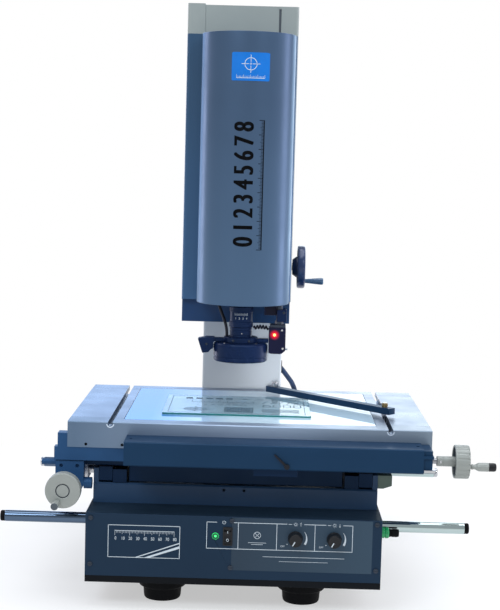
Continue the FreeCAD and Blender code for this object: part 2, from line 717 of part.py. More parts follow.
# the full T section starts behind the front face, which shows a shallow round-bottomed notch
cut(b, "XZ", t_slots(), st_y0 + 16, st_y0 + st_rail + 1)
notch_r = (3.25 ** 2 + 3.2 ** 2) / 6.4
cut(b, "XZ", [path((x - ts_neck / 2, st_z1 + 1),
                   [("L", (x - ts_neck / 2, st_z1 - 2.8)),
                    ("A", (x, st_z1 - 6), (x + ts_neck / 2, st_z1 - 2.8), st_z1 - 6 + notch_r),
                    ("L", (x + ts_neck / 2, st_z1 + 1)), ("L", (x - ts_neck / 2, st_z1 + 1))])
              for x in (ts_xa, ts_xb)], st_y0 - 1, st_y0 + 17)
cut(b, "XY", [rect(gl_x0 - 0.3, gl_y0 - 0.3, gl_x1 + 0.3, st_y0 + st_rail + 1)], st_z1 - gl_t, st_z1 + 1)
cut(b, "XZ", [circ(-206.5, 214.4, 2.0), circ(-156.8, 214.6, 2.0)], st_y0 - 1, st_y0 + 8)
cut(b, "YZ", [circ(64, 226, 6)], -100, 140)
round_edges(b, 1.2, lambda e: along(e, "x") and near(mid(e).y, st_y0) and near(mid(e).z, st_z1), True)
named("stage_front_rail", b)

b = new_body("stage_rear_rail")
pad(b, "XY", [rect(st_x0, st_y1 - st_rail, st_x1, st_y1)], st_z0, st_z1)
cut(b, "XZ", t_slots(), st_y1 - st_rail - 1, st_y1 + 1)
cut(b, "XY", [rect(gl_x0 - 0.3, st_y1 - st_rail - 1, gl_x1 + 0.3, gl_y1 + 0.3)], st_z1 - gl_t, st_z1 + 1)
round_edges(b, 1.2, lambda e: along(e, "x") and near(mid(e).y, st_y1) and near(mid(e).z, st_z1), True)
named("stage_rear_rail", b)

b = new_body("stage_side_left")
pad(b, "XY", [rect(st_x0, st_y0 + st_rail, gl_x0 + 10, st_y1 - st_rail)], st_z0, st_z1)
cut(b, "XZ", [t_slots()[0]], st_y0 + st_rail - 1, st_y1 - st_rail + 1)
cut(b, "XY", [rect(gl_x0 - 0.3, st_y0 + st_rail - 1, gl_x0 + 11, st_y1 - st_rail + 1)], st_z1 - gl_t, st_z1 + 1)
cut(b, "XY", [rect(-222, 110, -160, 312)], st_z0 - 1, st_z0 + 12)
named("stage_side_left", b)

b = new_body("stage_side_right")
pad(b, "XY", [rect(gl_x1 - 10, st_y0 + st_rail, st_x1, st_y1 - st_rail)], st_z0, st_z1)
cut(b, "XZ", [t_slots()[1]], st_y0 + st_rail - 1, st_y1 - st_rail + 1)
cut(b, "XY", [rect(gl_x1 - 11, st_y0 + st_rail - 1, gl_x1 + 0.3, st_y1 - st_rail + 1)], st_z1 - gl_t, st_z1 + 1)
cut(b, "XY", [rect(196, 110, 258, 312)], st_z0 - 1, st_z0 + 12)
named("stage_side_right", b)

b = new_body("stage_glass")
pad(b, "XY", [rect(gl_x0, gl_y0, gl_x1, gl_y1)], st_z1 - gl_t, st_z1)
round_edges(b, 0.6, lambda e: near(mid(e).z, st_z1) and not along(e, "z"), True)
named("stage_glass", b)

# ---- X scale on the front of the stage -----------------------------------
b = new_body("x_scale_body")
pad(b, "YZ", [rect(xs_y0, xs_z0, st_y0, xs_z1)], xs_x0, xs_x1)
cut(b, "YZ", [rect(xs_y0 + 3, xs_z0 + 4, st_y0 - 3, xs_z1 - 3)], xs_x0 + 4, xs_x1 - 4)
cut(b, "XY", [rect(xs_x0 + 20, 18, xs_x1 - 20, 26)], xs_z0 - 1, xs_z0 + 5)
cut(b, "XY", [circ(-143, 22, 2.5), circ(246, 22, 2.5)], xs_z1 - 4, xs_z1 + 1)
round_edges(b, 1.5, lambda e: along(e, "x") and near(mid(e).y, xs_y0), True)
end = join([box(xs_x1, xs_x1 + 12, xs_y0 + 3, st_y0, xs_z0 + 2, xs_z1 - 2),
            box(xs_x1, xs_x1 + 13.2, xs_y0, 20, 216.8, 220.6), box(xs_x1, xs_x1 + 16, xs_y0, 20, 197.5, 201.8)])
strip = box(xs_x0 + 10, xs_x1 - 10, 12, 15, 204, 222)
group("x_scale_unit", [b, end, strip])

# release lever on the scale housing's face, pivot at its lower end
la = math.atan2(-17.0, 18.0)
lx0, lz0 = 69.0, 201.5
b = new_body("x_release_lever")
turned(b, "Y", (lx0, lz0), [(0, -8.5), (3.6, -8.5), (3.6, -4.3), (0, -4.3)])
dx, dz = -0.7265, 0.6872
pad(b, "XZ", [poly([(lx0 + dx * a + dz * w, lz0 + dz * a - dx * w) for a, w in
                    ((0, 1.7), (22, 1.2), (24, 0), (22, -1.2), (0, -1.7))])], -7.6, -5.2)
named("x_release_lever", b)

# the left bearing hangs under the stage's corner, with a pad on the stage's end face
bl = new_body("bearing_left")
pad(bl, "YZ", [rect(47, 191.5, 61, st_z0)], -250, -152)
pad(bl, "YZ", [poly([(47, 205), (66, 205), (66, 229), (47, 229)])], -245.5, st_x0)
cut(bl, "YZ", [circ(xd_y, xd_z, rod_r + 0.05)], -251, -151)
cut(bl, "YZ", [circ(56.5, 220, 2.5)], -246, -242)
br = new_body("bearing_right")
pad(br, "YZ", [rect(47, 196, 61, st_z0)], 250, 267)
cut(br, "YZ", [circ(xd_y, xd_z, rod_r + 0.05)], 249, 268)
group("x_rod_bearings", [bl, br])

group("x_drive_rod", [cyl("X", xd_y, xd_z, rod_r, -248, 320.5)])
b = new_body("x_handwheel")
turned(b, "X", (xd_y, xd_z), [(rod_r, 276), (7, 276), (7, 311.5), (8, 313.5), (20.2, 314), (20.2, 299.5),
                              (xw_r - 1, 299.5), (xw_r, 300.5), (xw_r, 318.5), (xw_r - 1.4, 320), (6, 320),
                              (5, 321.5), (rod_r, 321.5)])
xka, xkr = math.radians(-108.0), 13.2
xky, xkz = xd_y + xkr * math.sin(xka), xd_z + xkr * math.cos(xka)
cut(b, "YZ", [circ(xky, xkz, 3)], 298, 323)
named("x_handwheel", b)
b = new_body("x_crank_knob")
turned(b, "X", (xky, xkz), [(0, 304.5), (2.9, 304.5), (2.9, 322), (3.6, 322.5), (3.6, 327), (5.4, 330), (6, 333), (6, 354),
                            (5, 356), (0, 356)])
named("x_crank_knob", b)

# ---- calibration plate and clamp -----------------------------------------
b = new_body("calibration_plate")
pad(b, "XY", [rect(-108, 119, 104, 279)], st_z1, st_z1 + 3)
round_edges(b, 0.5, lambda e: near(mid(e).z, st_z1 + 3), True)
named("calibration_plate", b)

pvx, pvy = 211.0, 156.0
group("clamp_slide_nut", [join([box(pvx - 5.6, pvx + 5.6, pvy - 11, pvy + 11, 232.4, 238.5),
                                cyl("Z", pvx, pvy, 3, 238, 265.5)])])
tx, ty = 54.0, 320.0
blen = math.hypot(tx - pvx, ty - pvy)
ux, uy = (tx - pvx) / blen, (ty - pvy) / blen


def on_bar(a, w):
    return (pvx + ux * a - uy * w, pvy + uy * a + ux * w)


b = new_body("clamp_bar")
pad(b, "XY", [poly([on_bar(-14, -7), on_bar(-14, 7), on_bar(blen + 14, 7), on_bar(blen + 14, -7)])], 250, 259)
cut(b, "XY", [circ(pvx, pvy, 3.05), circ(tx, ty, 2.5)], 249, 260)
round_edges(b, 0.8, lambda e: near(mid(e).z, 259) and not along(e, "z") and e.Length > 6, True)
named("clamp_bar", b)
group("clamp_screws", [less(cyl("Z", pvx, pvy, 4.3, 259, 265), [cyl("Z", pvx, pvy, 3.05, 258, 266)]),
                       join([cyl("Z", tx, ty, 2.45, 249.6, 259), cyl("Z", tx, ty, 4.7, 259, 266)])])

# ======================= column ==========================================
b = new_body("column")
pad(b, "XY", [rect(-col_hw, col_y0, col_hw, col_y1)], base_top, col_top)
pad(b, "XY", [rect(-92, 448, 92, 604)], base_top, base_top + 18)
pad(b, "XY", [rect(pad_x0, pad_y0, pad_x1, col_y0 + 1)], pad_z0, col_top)
cut(b, "XY", [rect(-col_hw + col_wall, col_y0 + col_wall, col_hw - col_wall, col_y1 - col_wall)],
    base_top - 1, col_top - col_wall)
cut(b, "XZ", [rect(-24, 405, 0, 640)], pad_y0 - 1, col_y0 + col_wall + 1)
cut(b, "YZ", [circ(zs_y, zs_z, zs_r + 0.05)], -col_hw - 1, col_hw + 1)
cut(b, "YZ", [circ(545, 259, 9)], col_hw - col_wall - 1, col_hw + 1)
cut(b, "XY", [circ(x, y, 4.5) for x in (-80, 80) for y in (470, 590)], base_top - 1, base_top + 19)
round_edges(b, 3, lambda e: along(e, "z") and near(abs(mid(e).x), col_hw) and
            (near(mid(e).y, col_y0) or near(mid(e).y, col_y1)) and e.Length > 100)
named("column", b)

b = new_body("z_housing")
pad(b, "XY", [rect(hs_x0, hs_y0, hs_x1, hs_y1)], hs_z0, hs_z1)
cut(b, "XY", [rect(hs_x0 + hs_t, hs_y0 + hs_t, hs_x1 - hs_t, hs_y1 - hs_t)], hs_z0 + hs_t, hs_z2 - hs_t)
# the roof is stepped: a strip at the left stands a little higher
cut(b, "XY", [rect(pad_x0, hs_y0 - 1, hs_x1 + 1, hs_y1 + 1)], hs_z2, hs_z1 + 1)
cut(b, "XY", [rect(-col_hw - 0.5, col_y0 - 0.5, col_hw + 0.5, col_y1 + 0.5)], hs_z0 - 1, hs_z0 + hs_t + 1)
cut(b, "XZ", [rect(pad_x0 - 0.5, hs_z0 + hs_t, pad_x1 + 0.5, hs_zo)], hs_y0 - 1, hs_y0 + hs_t + 1)
# sunk field and joint groove on the front above and beside the slide opening
cut(b, "XZ", [rect(pad_x0, hs_zo - 1, 45, hs_z1 + 1)], hs_y0 - 1, hs_y0 + 1.2)
cut(b, "XZ", [rect(45, hs_zo - 1, 48.7, 850)], hs_y0 - 1, hs_y0 + 2.2)
cut(b, "YZ", [circ(zs_y, zs_z, 9)], hs_x1 - hs_t - 1, hs_x1 + 1)
cut(b, "XZ", [rect(-60 + 24 * i, 780, -48 + 24 * i, 784) for i in range(5)] +
    [rect(-60 + 24 * i, 768, -48 + 24 * i, 772) for i in range(5)], hs_y1 - hs_t - 1, hs_y1 + 1)
round_edges(b, 4, lambda e: along(e, "z") and (near(mid(e).x, hs_x0) or near(mid(e).x, hs_x1)) and
            (near(mid(e).y, hs_y0) or near(mid(e).y, hs_y1)))
named("z_housing", b)

group("z_rails", [box(x - zr_w / 2, x + zr_w / 2, 433, pad_y0, 400, 790) for x in (zr_xa, zr_xb)])

# ---- Z handwheel, shaft and pinion ---------------------------------------
b = new_body("z_pinion_shaft")
root_r = pin_m * pin_n / 2 - 1.1
turned(b, "X", (zs_y, zs_z), [(0, -62), (zs_r, -62), (zs_r, -21), (root_r, -20), (root_r, -4), (zs_r, -3),
                              (zs_r, 99), (0, 99)])
doc.recompute()
m1, n1 = num(pin_m), int(num(pin_n))
pitch_r = m1 * n1 / 2


def flank(r, sign):
    """A point of the tooth's flank at radius r: an involute, thinned for backlash."""
    base = pitch_r * math.cos(math.radians(20))
    inv = math.tan(math.radians(20)) - math.radians(20)
    if r > base:
        a = math.acos(base / r)
        t = math.tan(a) - a
    else:
        t = 0.0
    half = (math.pi * m1 / 2 - 0.30) / 2 / pitch_r + inv - t
    # the first tooth points toward the rack (-Y)
    ang = math.pi + sign * half
    return (r * math.cos(ang), r * math.sin(ang))


radii = [num(root_r) - 0.6, 7.6, 7.9, 8.2, 8.5, 8.8]
pts = [flank(r, 1) for r in radii] + [flank(r, -1) for r in reversed(radii)]
sk = sketch(b, "YZ", [poly(pts)], -20, (zs_y, zs_z))
tooth = b.newObject("PartDesign::Pad", "pinion_tooth")
tooth.Profile = sk
tooth.Length = 16
pat = b.newObject("PartDesign::PolarPattern", "pinion_teeth_all")
pat.Originals = [tooth]
pat.Axis = (sk, ["N_Axis"])
pat.Angle = 360
bind(pat, "Occurrences", pin_n)
b.Tip = pat
named("z_pinion_shaft", b)

b = new_body("z_handwheel")
turned(b, "X", (zs_y, zs_z), [(zs_r, 79), (12.5, 79), (17.5, 86), (17.5, 88), (28, 89), (29, 87), (zw_r - 1.5, 87),
                              (zw_r, 88.5), (zw_r, 98.5), (zw_r - 1.5, 100), (zw_r - 5, 100), (zw_r - 6, 97),
                              (12, 97), (11, 99), (zs_r, 99)])
zkr = 26.0
zky, zkz = 488.0, 411.5
cut(b, "YZ", [circ(zky, zkz, 3)], 85, 101)
named("z_handwheel", b)
b = new_body("z_crank_knob")
turned(b, "X", (zky, zkz), [(0, 88), (2.9, 88), (2.9, 99.6), (3.6, 100), (4.2, 108), (5.4, 122), (5.8, 129), (5, 131), (0, 131)])
named("z_crank_knob", b)

# ======================= head ============================================
b = new_body("head_carrier")
pad(b, "XY", [rect(-88, 406, 68, 418)], 394, 790)
pad(b, "XY", [rect(hc_x0 + 0.5, 300, hc_x1 - 0.5, 418)], 360, 394.8)
cut(b, "XY", [rect(-80, 312, 60, 406)], 368, 396)
pad(b, "XZ", [rect(-20, 470, -4, 506)], 417, 476)
for z in (470, 560):
    pad(b, "XY", [rect(-22, 226, 22, 407)], z, z + 12)
    pad(b, "XY", [circ(0, opt_y, 29)], z, z + 12)
    cut(b, "XY", [circ(0, opt_y, barrel_r + 0.05)], z - 1, z + 13)
named("head_carrier", b)

b = new_body("head_rear_casing")
pad(b, "XY", [rect(hc_x0, hc_y0, hc_x1, hc_y1)], hc_z0, hc_z1)
cut(b, "XY", [rect(hc_x0 + cv_t, hc_y0 + cv_t, hc_x1 - cv_t, hc_y1 + 1)], hc_z0 - 1, hc_z1 - cv_t)
cut(b, "XZ", [rect(cv_x - cv_r + 6, hc_z0 - 1, cv_x + cv_r - 6, hc_z1 - 12)], hc_y0 - 1, hc_y0 + cv_t + 1)
# notches in the top that pass the guide rails
cut(b, "XY", [rect(zr_xa - 10, 431, zr_xa + 10, hc_y1 + 1), rect(zr_xb - 10, 431, zr_xb + 10, hc_y1 + 1)],
    hc_z1 - cv_t - 1, hc_z1 + 1)
round_edges(b, 5, lambda e: along(e, "z") and near(mid(e).y, hc_y0) and
            (near(mid(e).x, hc_x0) or near(mid(e).x, hc_x1)))
named("head_rear_casing", b)

b = new_body("head_front_cover")
xl, xr = cv_x - cv_r, cv_x + cv_r
pad(b, "XY", [path((xl, hc_y0 - 0.3), [("L", (xl, cv_yc)), ("A", (cv_x, cv_yc - cv_r), (xr, cv_yc), cv_yc),
                                       ("L", (xr, hc_y0 - 0.3)), ("L", (xl, hc_y0 - 0.3))])], cv_z0, cv_z1)
cut(b, "XY", [path((xl + cv_t, hc_y0 + 1), [("L", (xl + cv_t, cv_yc)),
                                            ("A", (cv_x, cv_yc - cv_r + cv_t), (xr - cv_t, cv_yc), cv_yc),
                                            ("L", (xr - cv_t, hc_y0 + 1)), ("L", (xl + cv_t, hc_y0 + 1))])],
    cv_z0 - 1, cv_z1 - cv_t)
named("head_front_cover", b)

car = []
for x in (zr_xa, zr_xb):
    for z in (465, 600):
        c = new_body(fresh("carriage"))
        pad(c, "XY", [poly([(x - 17, 418), (x + 17, 418), (x + 17, 441), (x + 8, 441), (x + 8, 432.5),
                            (x - 8, 432.5), (x - 8, 441), (x - 17, 441)])], z, z + 60)
        car.append(c)
group("z_carriages", car)

b = new_body("z_rack")
pad(b, "YZ", [rect(476, 326, 486.9, 510)], -20, -4)
pit = math.pi * m1
kq = math.tan(math.radians(20))
rk0 = num(zs_z) - 30 * pit - pit / 2
half = (math.pi * m1 / 2 - 0.30) / 2
rp = pitch_r
yp = num(zs_y) - pitch_r
sk = sketch(b, "YZ", [poly([(yp - 1.4, rk0 - half - 1.4 * kq), (yp + 0.8, rk0 - half + 0.8 * kq),
                            (yp + 0.8, rk0 + half - 0.8 * kq), (yp - 1.4, rk0 + half + 1.4 * kq)])], -20)
tooth = b.newObject("PartDesign::Pad", "rack_tooth")
tooth.Profile = sk
tooth.Length = 16
pat = b.newObject("PartDesign::LinearPattern", "rack_teeth_all")
pat.Originals = [tooth]
pat.Direction = (sk, ["V_Axis"])
pat.Length = pit * 47
pat.Occurrences = 48
b.Tip = pat
named("z_rack", b)

group("camera", [join([box(-22, 22, opt_y - 22, opt_y + 22, 594, 650), cyl("Z", 0, opt_y, 15.5, 586, 594),
                       cyl("Z", 0, opt_y, 5, 650, 662)])])

b = new_body("zoom_lens")
turned(b, "Z", (0, opt_y), [(0, 326), (13, 326), (13, 330), (16.2, 332), (16.2, 363.6), (14, 363.6), (14, 394.4),
                            (barrel_r, 394.4), (barrel_r, 580), (15.5, 582), (15.5, 586), (0, 586)])
turned(b, "Z", (0, opt_y), [(0, 325), (11.5, 325), (10, 329.5), (0, 328.6)], True)
named("zoom_lens", b)
b = new_body("zoom_ring")
turned(b, "Z", (0, opt_y), [(14.06, 364), (barrel_r, 364), (barrel_r, 372), (barrel_r - 0.6, 372.6),
                            (barrel_r - 0.6, 385.4), (barrel_r, 386), (barrel_r, 394), (14.06, 394)])
cut(b, "XZ", [circ(-9, 379, 1.2)], opt_y - 19, opt_y - 14.5)
named("zoom_ring", b)

b = new_body("ring_light")
turned(b, "Z", (0, opt_y), [(22, ring_z0), (24, ring_z0), (24, ring_z0 + 6), (34, ring_z0 + 6), (34, ring_z0), (38.2, ring_z0),
                            (ring_r, ring_z0 + 2), (ring_r, 338), (38.5, ring_z1), (16.35, ring_z1), (16.35, 337), (22, 335)])
named("ring_light", b)

# clamp ring on the barrel, cross arm, left block
b = new_body("light_arm")
pad(b, "XY", [circ(0, opt_y, 25)], ring_z1 + 0.2, 349)
pad(b, "XY", [rect(-58, 205, 40.9, 217)], ring_z1 + 0.2, 347)
pad(b, "XZ", [poly([(-62.8, 345.5), (-56, 324.8), (-47, 326), (-43, 331), (-40.4, 331), (-40.4, ring_z1 + 0.3),
                    (-38.6, ring_z1 + 0.3), (-38.6, 348), (-50, 348)])], 200, 220)
cut(b, "XY", [circ(0, opt_y, 16.25)], ring_z1 - 1, 350)
named("light_arm", b)

las = new_body("laser_block")
pad(las, "XZ", [rect(41, 326, 66, 369)], 200, 222)
cut(las, "XZ", [circ(49.6, 354, 3.2)], 199, 206)
group("laser_pointer", [las, cyl("Z", 56, 211, 4.2, 369, 397), cyl("Y", 49.6, 354, 2.9, 202, 205.9),
                        cyl("X", 208, 333, 1.8, 66, 69.5)])


def cord(label, pts, r, radii=None):
    """A tube along straight runs joined by tangent arcs, each as large as its runs allow."""
    pts = [Vector(*p) for p in pts]
    edges = []
    here = pts[0]
    total = 0.0
    out = []
    for i in range(1, len(pts) - 1):
        a = (pts[i - 1] - pts[i])
        c = (pts[i + 1] - pts[i])
        la_, lc_ = a.Length, c.Length
        a.normalize()
        c.normalize()
        turn = math.pi - math.acos(max(-1, min(1, a.dot(c))))
        t = 0.45 * min(la_, lc_)
        rad = t / math.tan(turn / 2)
        out.append(round(rad, 1))
        s = pts[i] + a * t
        e = pts[i] + c * t
        bis = a + c
        bis.normalize()
        m = pts[i] + bis * (rad / math.cos(turn / 2) - rad)
        edges.append(Part.LineSegment(here, s).toShape())
        edges.append(Part.Arc(s, m, e).toShape())
        here = e
    edges.append(Part.LineSegment(here, pts[-1]).toShape())
    w = Part.Wire(edges)
    d = (pts[1] - pts[0])
    sec = Part.Wire([Part.Circle(pts[0], d, r).toShape()])
    tube = w.makePipeShell([sec], True, False)
    want = math.pi * r * r * w.Length
    print("%s radii %s length %.1f volume %.0f of %.0f" % (label, out, w.Length, tube.Volume, want))
    if abs(tube.Volume - want) > 0.02 * want:
        raise RuntimeError("tube of " + label + " has the wrong volume")
    o = doc.addObject("Part::Feature", label)
    o.Label = label
    o.Shape = tube
    return o


lead_r = dim("lead_radius", 2.2)
doc.recompute()
lead = cord("ring_lead", [(-42, 228, 470), (-41, 227, 430), (-36.4, 223, 401), (-30, 221, 385), (-25.4, 220, 374),
                          (-20.6, 211, 360), (-20.6, 211, 349.1)],
            num(lead_r))
curl = cord("curl_lead", [(18.4, 214, 362), (24, 214, 363.5), (31, 214, 362), (40.4, 214, 361)], 3.0)
group("head_cables", [lead, curl])
cc = cord("column_cable", [(48, 545, 264), (62, 545, 261), (70.2, 545, 251.7), (77, 545, 242.7), (87.3, 543, 229.9),
                           (95, 538, 204), (100.5, 531, 178), (101, 524, 154), (99.5, 520, 138), (99, 520, 124)], 4.2)
shifted(cc)

doc.recompute()

# ---- checks before anything is written -----------------------------------
bad = []
for o in doc.Objects:
    if any(s in ("Invalid", "Error") for s in o.State):
        bad.append("%s (%s): %s" % (o.Label, o.Name, o.State))
for b, f in cuts:
    base = f.BaseFeature
    if f.Shape.isNull() or base is None or base.Shape.isNull():
        bad.append("%s of %s has no shape" % (f.Name, b.Label))
    elif f.Shape.Volume >= base.Shape.Volume - 1e-3:
        bad.append("%s of %s removes nothing" % (f.Name, b.Label))
for label, o in nodes.items():
    if o.Shape.isNull() or not o.Shape.isValid():
        bad.append(label + ": shape is null or not valid")
if bad:
    for line in bad:
        print("PROBLEM", line)
    raise RuntimeError("%d problems" % len(bad))

os.makedirs("parts", exist_ok=True)
lo = [1e9] * 3
hi = [-1e9] * 3
for label in sorted(nodes):
    shape = nodes[label].Shape
    bb = shape.BoundBox
    lo = [min(a, v) for a, v in zip(lo, (bb.XMin, bb.YMin, bb.ZMin))]
    hi = [max(a, v) for a, v in zip(hi, (bb.XMax, bb.YMax, bb.ZMax))]
    shape.exportStep("parts/" + label + ".step")
print("nodes", len(nodes), "low", [round(v, 2) for v in lo], "high", [round(v, 2) for v in hi])
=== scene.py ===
import bpy
import bmesh
import math
from mathutils import Matrix, Vector


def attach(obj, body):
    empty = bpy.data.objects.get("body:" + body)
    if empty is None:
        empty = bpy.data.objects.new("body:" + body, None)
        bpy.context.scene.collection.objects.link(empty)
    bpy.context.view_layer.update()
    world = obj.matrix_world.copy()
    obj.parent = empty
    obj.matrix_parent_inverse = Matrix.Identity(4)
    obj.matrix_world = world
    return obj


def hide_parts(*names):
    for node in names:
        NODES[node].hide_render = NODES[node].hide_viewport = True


# Bench-top video measuring machine: looks and fine detail on the fixed frame.
# Lengths in the builders below are millimetres in the design frame (X = 0 the
# middle of the base, Y = 0 the front panel); P() turns them into metres in the
# row frame.

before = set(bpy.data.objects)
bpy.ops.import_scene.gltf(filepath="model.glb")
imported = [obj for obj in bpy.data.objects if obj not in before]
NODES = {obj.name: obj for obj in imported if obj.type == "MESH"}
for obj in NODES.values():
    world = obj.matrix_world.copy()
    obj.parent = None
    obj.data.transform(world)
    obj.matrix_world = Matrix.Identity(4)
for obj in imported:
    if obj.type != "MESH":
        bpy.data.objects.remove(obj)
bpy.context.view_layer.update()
OX, OY = 16.0, 294.0


def P(x, y, z):
    return Vector(((x - OX) / 1000.0, (y - OY) / 1000.0, z / 1000.0))


# ---------------------------------------------------------------- materials
def lin(r, g, b):
    out = []
    for c in (r, g, b):
        c = c / 255.0
        out.append(c / 12.92 if c <= 0.04045 else ((c + 0.055) / 1.055) ** 2.4)
    return tuple(out)


def new_mat(name):
    m = bpy.data.materials.new(name)
    m.use_nodes = True
    nt = m.node_tree
    bsdf = nt.nodes["Principled BSDF"]
    return m, nt, bsdf


def node(nt, kind, **props):
    n = nt.nodes.new(kind)
    for k, v in props.items():
        setattr(n, k, v)
    return n


def noise_of(nt, scale, detail=4.0, rough=0.55, stretch=None, distort=0.0):
    tc = node(nt, "ShaderNodeTexCoord")
    src = tc.outputs["Object"]
    if stretch:
        mp = node(nt, "ShaderNodeMapping")
        mp.inputs["Scale"].default_value = stretch
        nt.links.new(src, mp.inputs["Vector"])
        src = mp.outputs["Vector"]
    n = node(nt, "ShaderNodeTexNoise")
    n.inputs["Scale"].default_value = scale
    n.inputs["Detail"].default_value = detail
    n.inputs["Roughness"].default_value = rough
    n.inputs["Distortion"].default_value = distort
    nt.links.new(src, n.inputs["Vector"])
    return n


def ramp(nt, src, lo, hi, a, b):
    r = node(nt, "ShaderNodeValToRGB")
    r.color_ramp.elements[0].position = lo
    r.color_ramp.elements[1].position = hi
    r.color_ramp.elements[0].color = (*a, 1)
    r.color_ramp.elements[1].color = (*b, 1)
    nt.links.new(src, r.inputs["Fac"])
    return r


def spread(nt, src, lo, hi):
    mr = node(nt, "ShaderNodeMapRange")
    mr.inputs["From Min"].default_value = 0.3
    mr.inputs["From Max"].default_value = 0.7
    mr.inputs["To Min"].default_value = lo
    mr.inputs["To Max"].default_value = hi
    nt.links.new(src, mr.inputs["Value"])
    return mr


def finish_mat(name, rgb, rough=0.45, metal=0.0, vary=0.08, scale=9.0, grain=1400.0, bump=0.05, depth=0.00005,
               coat=0.0, coat_rough=0.15, stretch=None, spec=None, dr=0.06, second=None, emit=None, wear=None,
               tint=None):
    """Paint, plastic or metal: cloudy colour variation, uneven roughness and a fine surface grain."""
    m, nt, b = new_mat(name)
    base = tuple(rgb)
    dark = tuple(max(0.0, c * (1 - vary)) for c in base)
    light = tuple(min(1.0, c * (1 + vary)) for c in base)
    if second:
        light = tuple(second)
    big = noise_of(nt, scale, 5.0, 0.6)
    col = ramp(nt, big.outputs["Fac"], 0.32, 0.68, dark, light)
    out = col.outputs["Color"]
    if wear:
        # small rubbed specks where the finish has gone thin
        sp = noise_of(nt, 260.0, 3.0, 0.7)
        mask = ramp(nt, sp.outputs["Fac"], 0.70, 0.76, (0, 0, 0), (1, 1, 1))
        mx = node(nt, "ShaderNodeMix", data_type="RGBA")
        nt.links.new(mask.outputs["Color"], mx.inputs["Factor"])
        nt.links.new(out, mx.inputs["A"])
        mx.inputs["B"].default_value = (*wear, 1)
        out = mx.outputs["Result"]
    nt.links.new(out, b.inputs["Base Color"])
    mid = noise_of(nt, scale * 4.3, 3.0, 0.5)
    nt.links.new(spread(nt, mid.outputs["Fac"], max(0.02, rough - dr), min(1.0, rough + dr)).outputs["Result"],
                 b.inputs["Roughness"])
    fine = noise_of(nt, grain, 3.0, 0.6, stretch)
    bp = node(nt, "ShaderNodeBump")
    bp.inputs["Strength"].default_value = bump
    bp.inputs["Distance"].default_value = depth
    nt.links.new(fine.outputs["Fac"], bp.inputs["Height"])
    nt.links.new(bp.outputs["Normal"], b.inputs["Normal"])
    b.inputs["Metallic"].default_value = metal
    b.inputs["Coat Weight"].default_value = coat
    b.inputs["Coat Roughness"].default_value = coat_rough
    if spec is not None:
        b.inputs["Specular IOR Level"].default_value = spec
    if tint:
        b.inputs["Specular Tint"].default_value = (*tint, 1)
    if emit:
        b.inputs["Emission Color"].default_value = (*emit[0], 1)
        b.inputs["Emission Strength"].default_value = emit[1]
    return m


def glass_mat(name, tint, rough=0.02, ior=1.5, alpha=0.35, through=1.0):
    """Clear plate: mostly see-through with a faint tint that thickens in patches of the surface."""
    m, nt, b = new_mat(name)
    big = noise_of(nt, 7.0, 4.0, 0.6)
    col = ramp(nt, big.outputs["Fac"], 0.3, 0.7, tuple(c * 0.94 for c in tint), tuple(min(1, c * 1.04) for c in tint))
    nt.links.new(col.outputs["Color"], b.inputs["Base Color"])
    mid = noise_of(nt, 40.0, 2.0, 0.5)
    nt.links.new(spread(nt, mid.outputs["Fac"], rough, rough + 0.03).outputs["Result"], b.inputs["Roughness"])
    b.inputs["IOR"].default_value = ior
    b.inputs["Transmission Weight"].default_value = through
    b.inputs["Alpha"].default_value = alpha
    return m


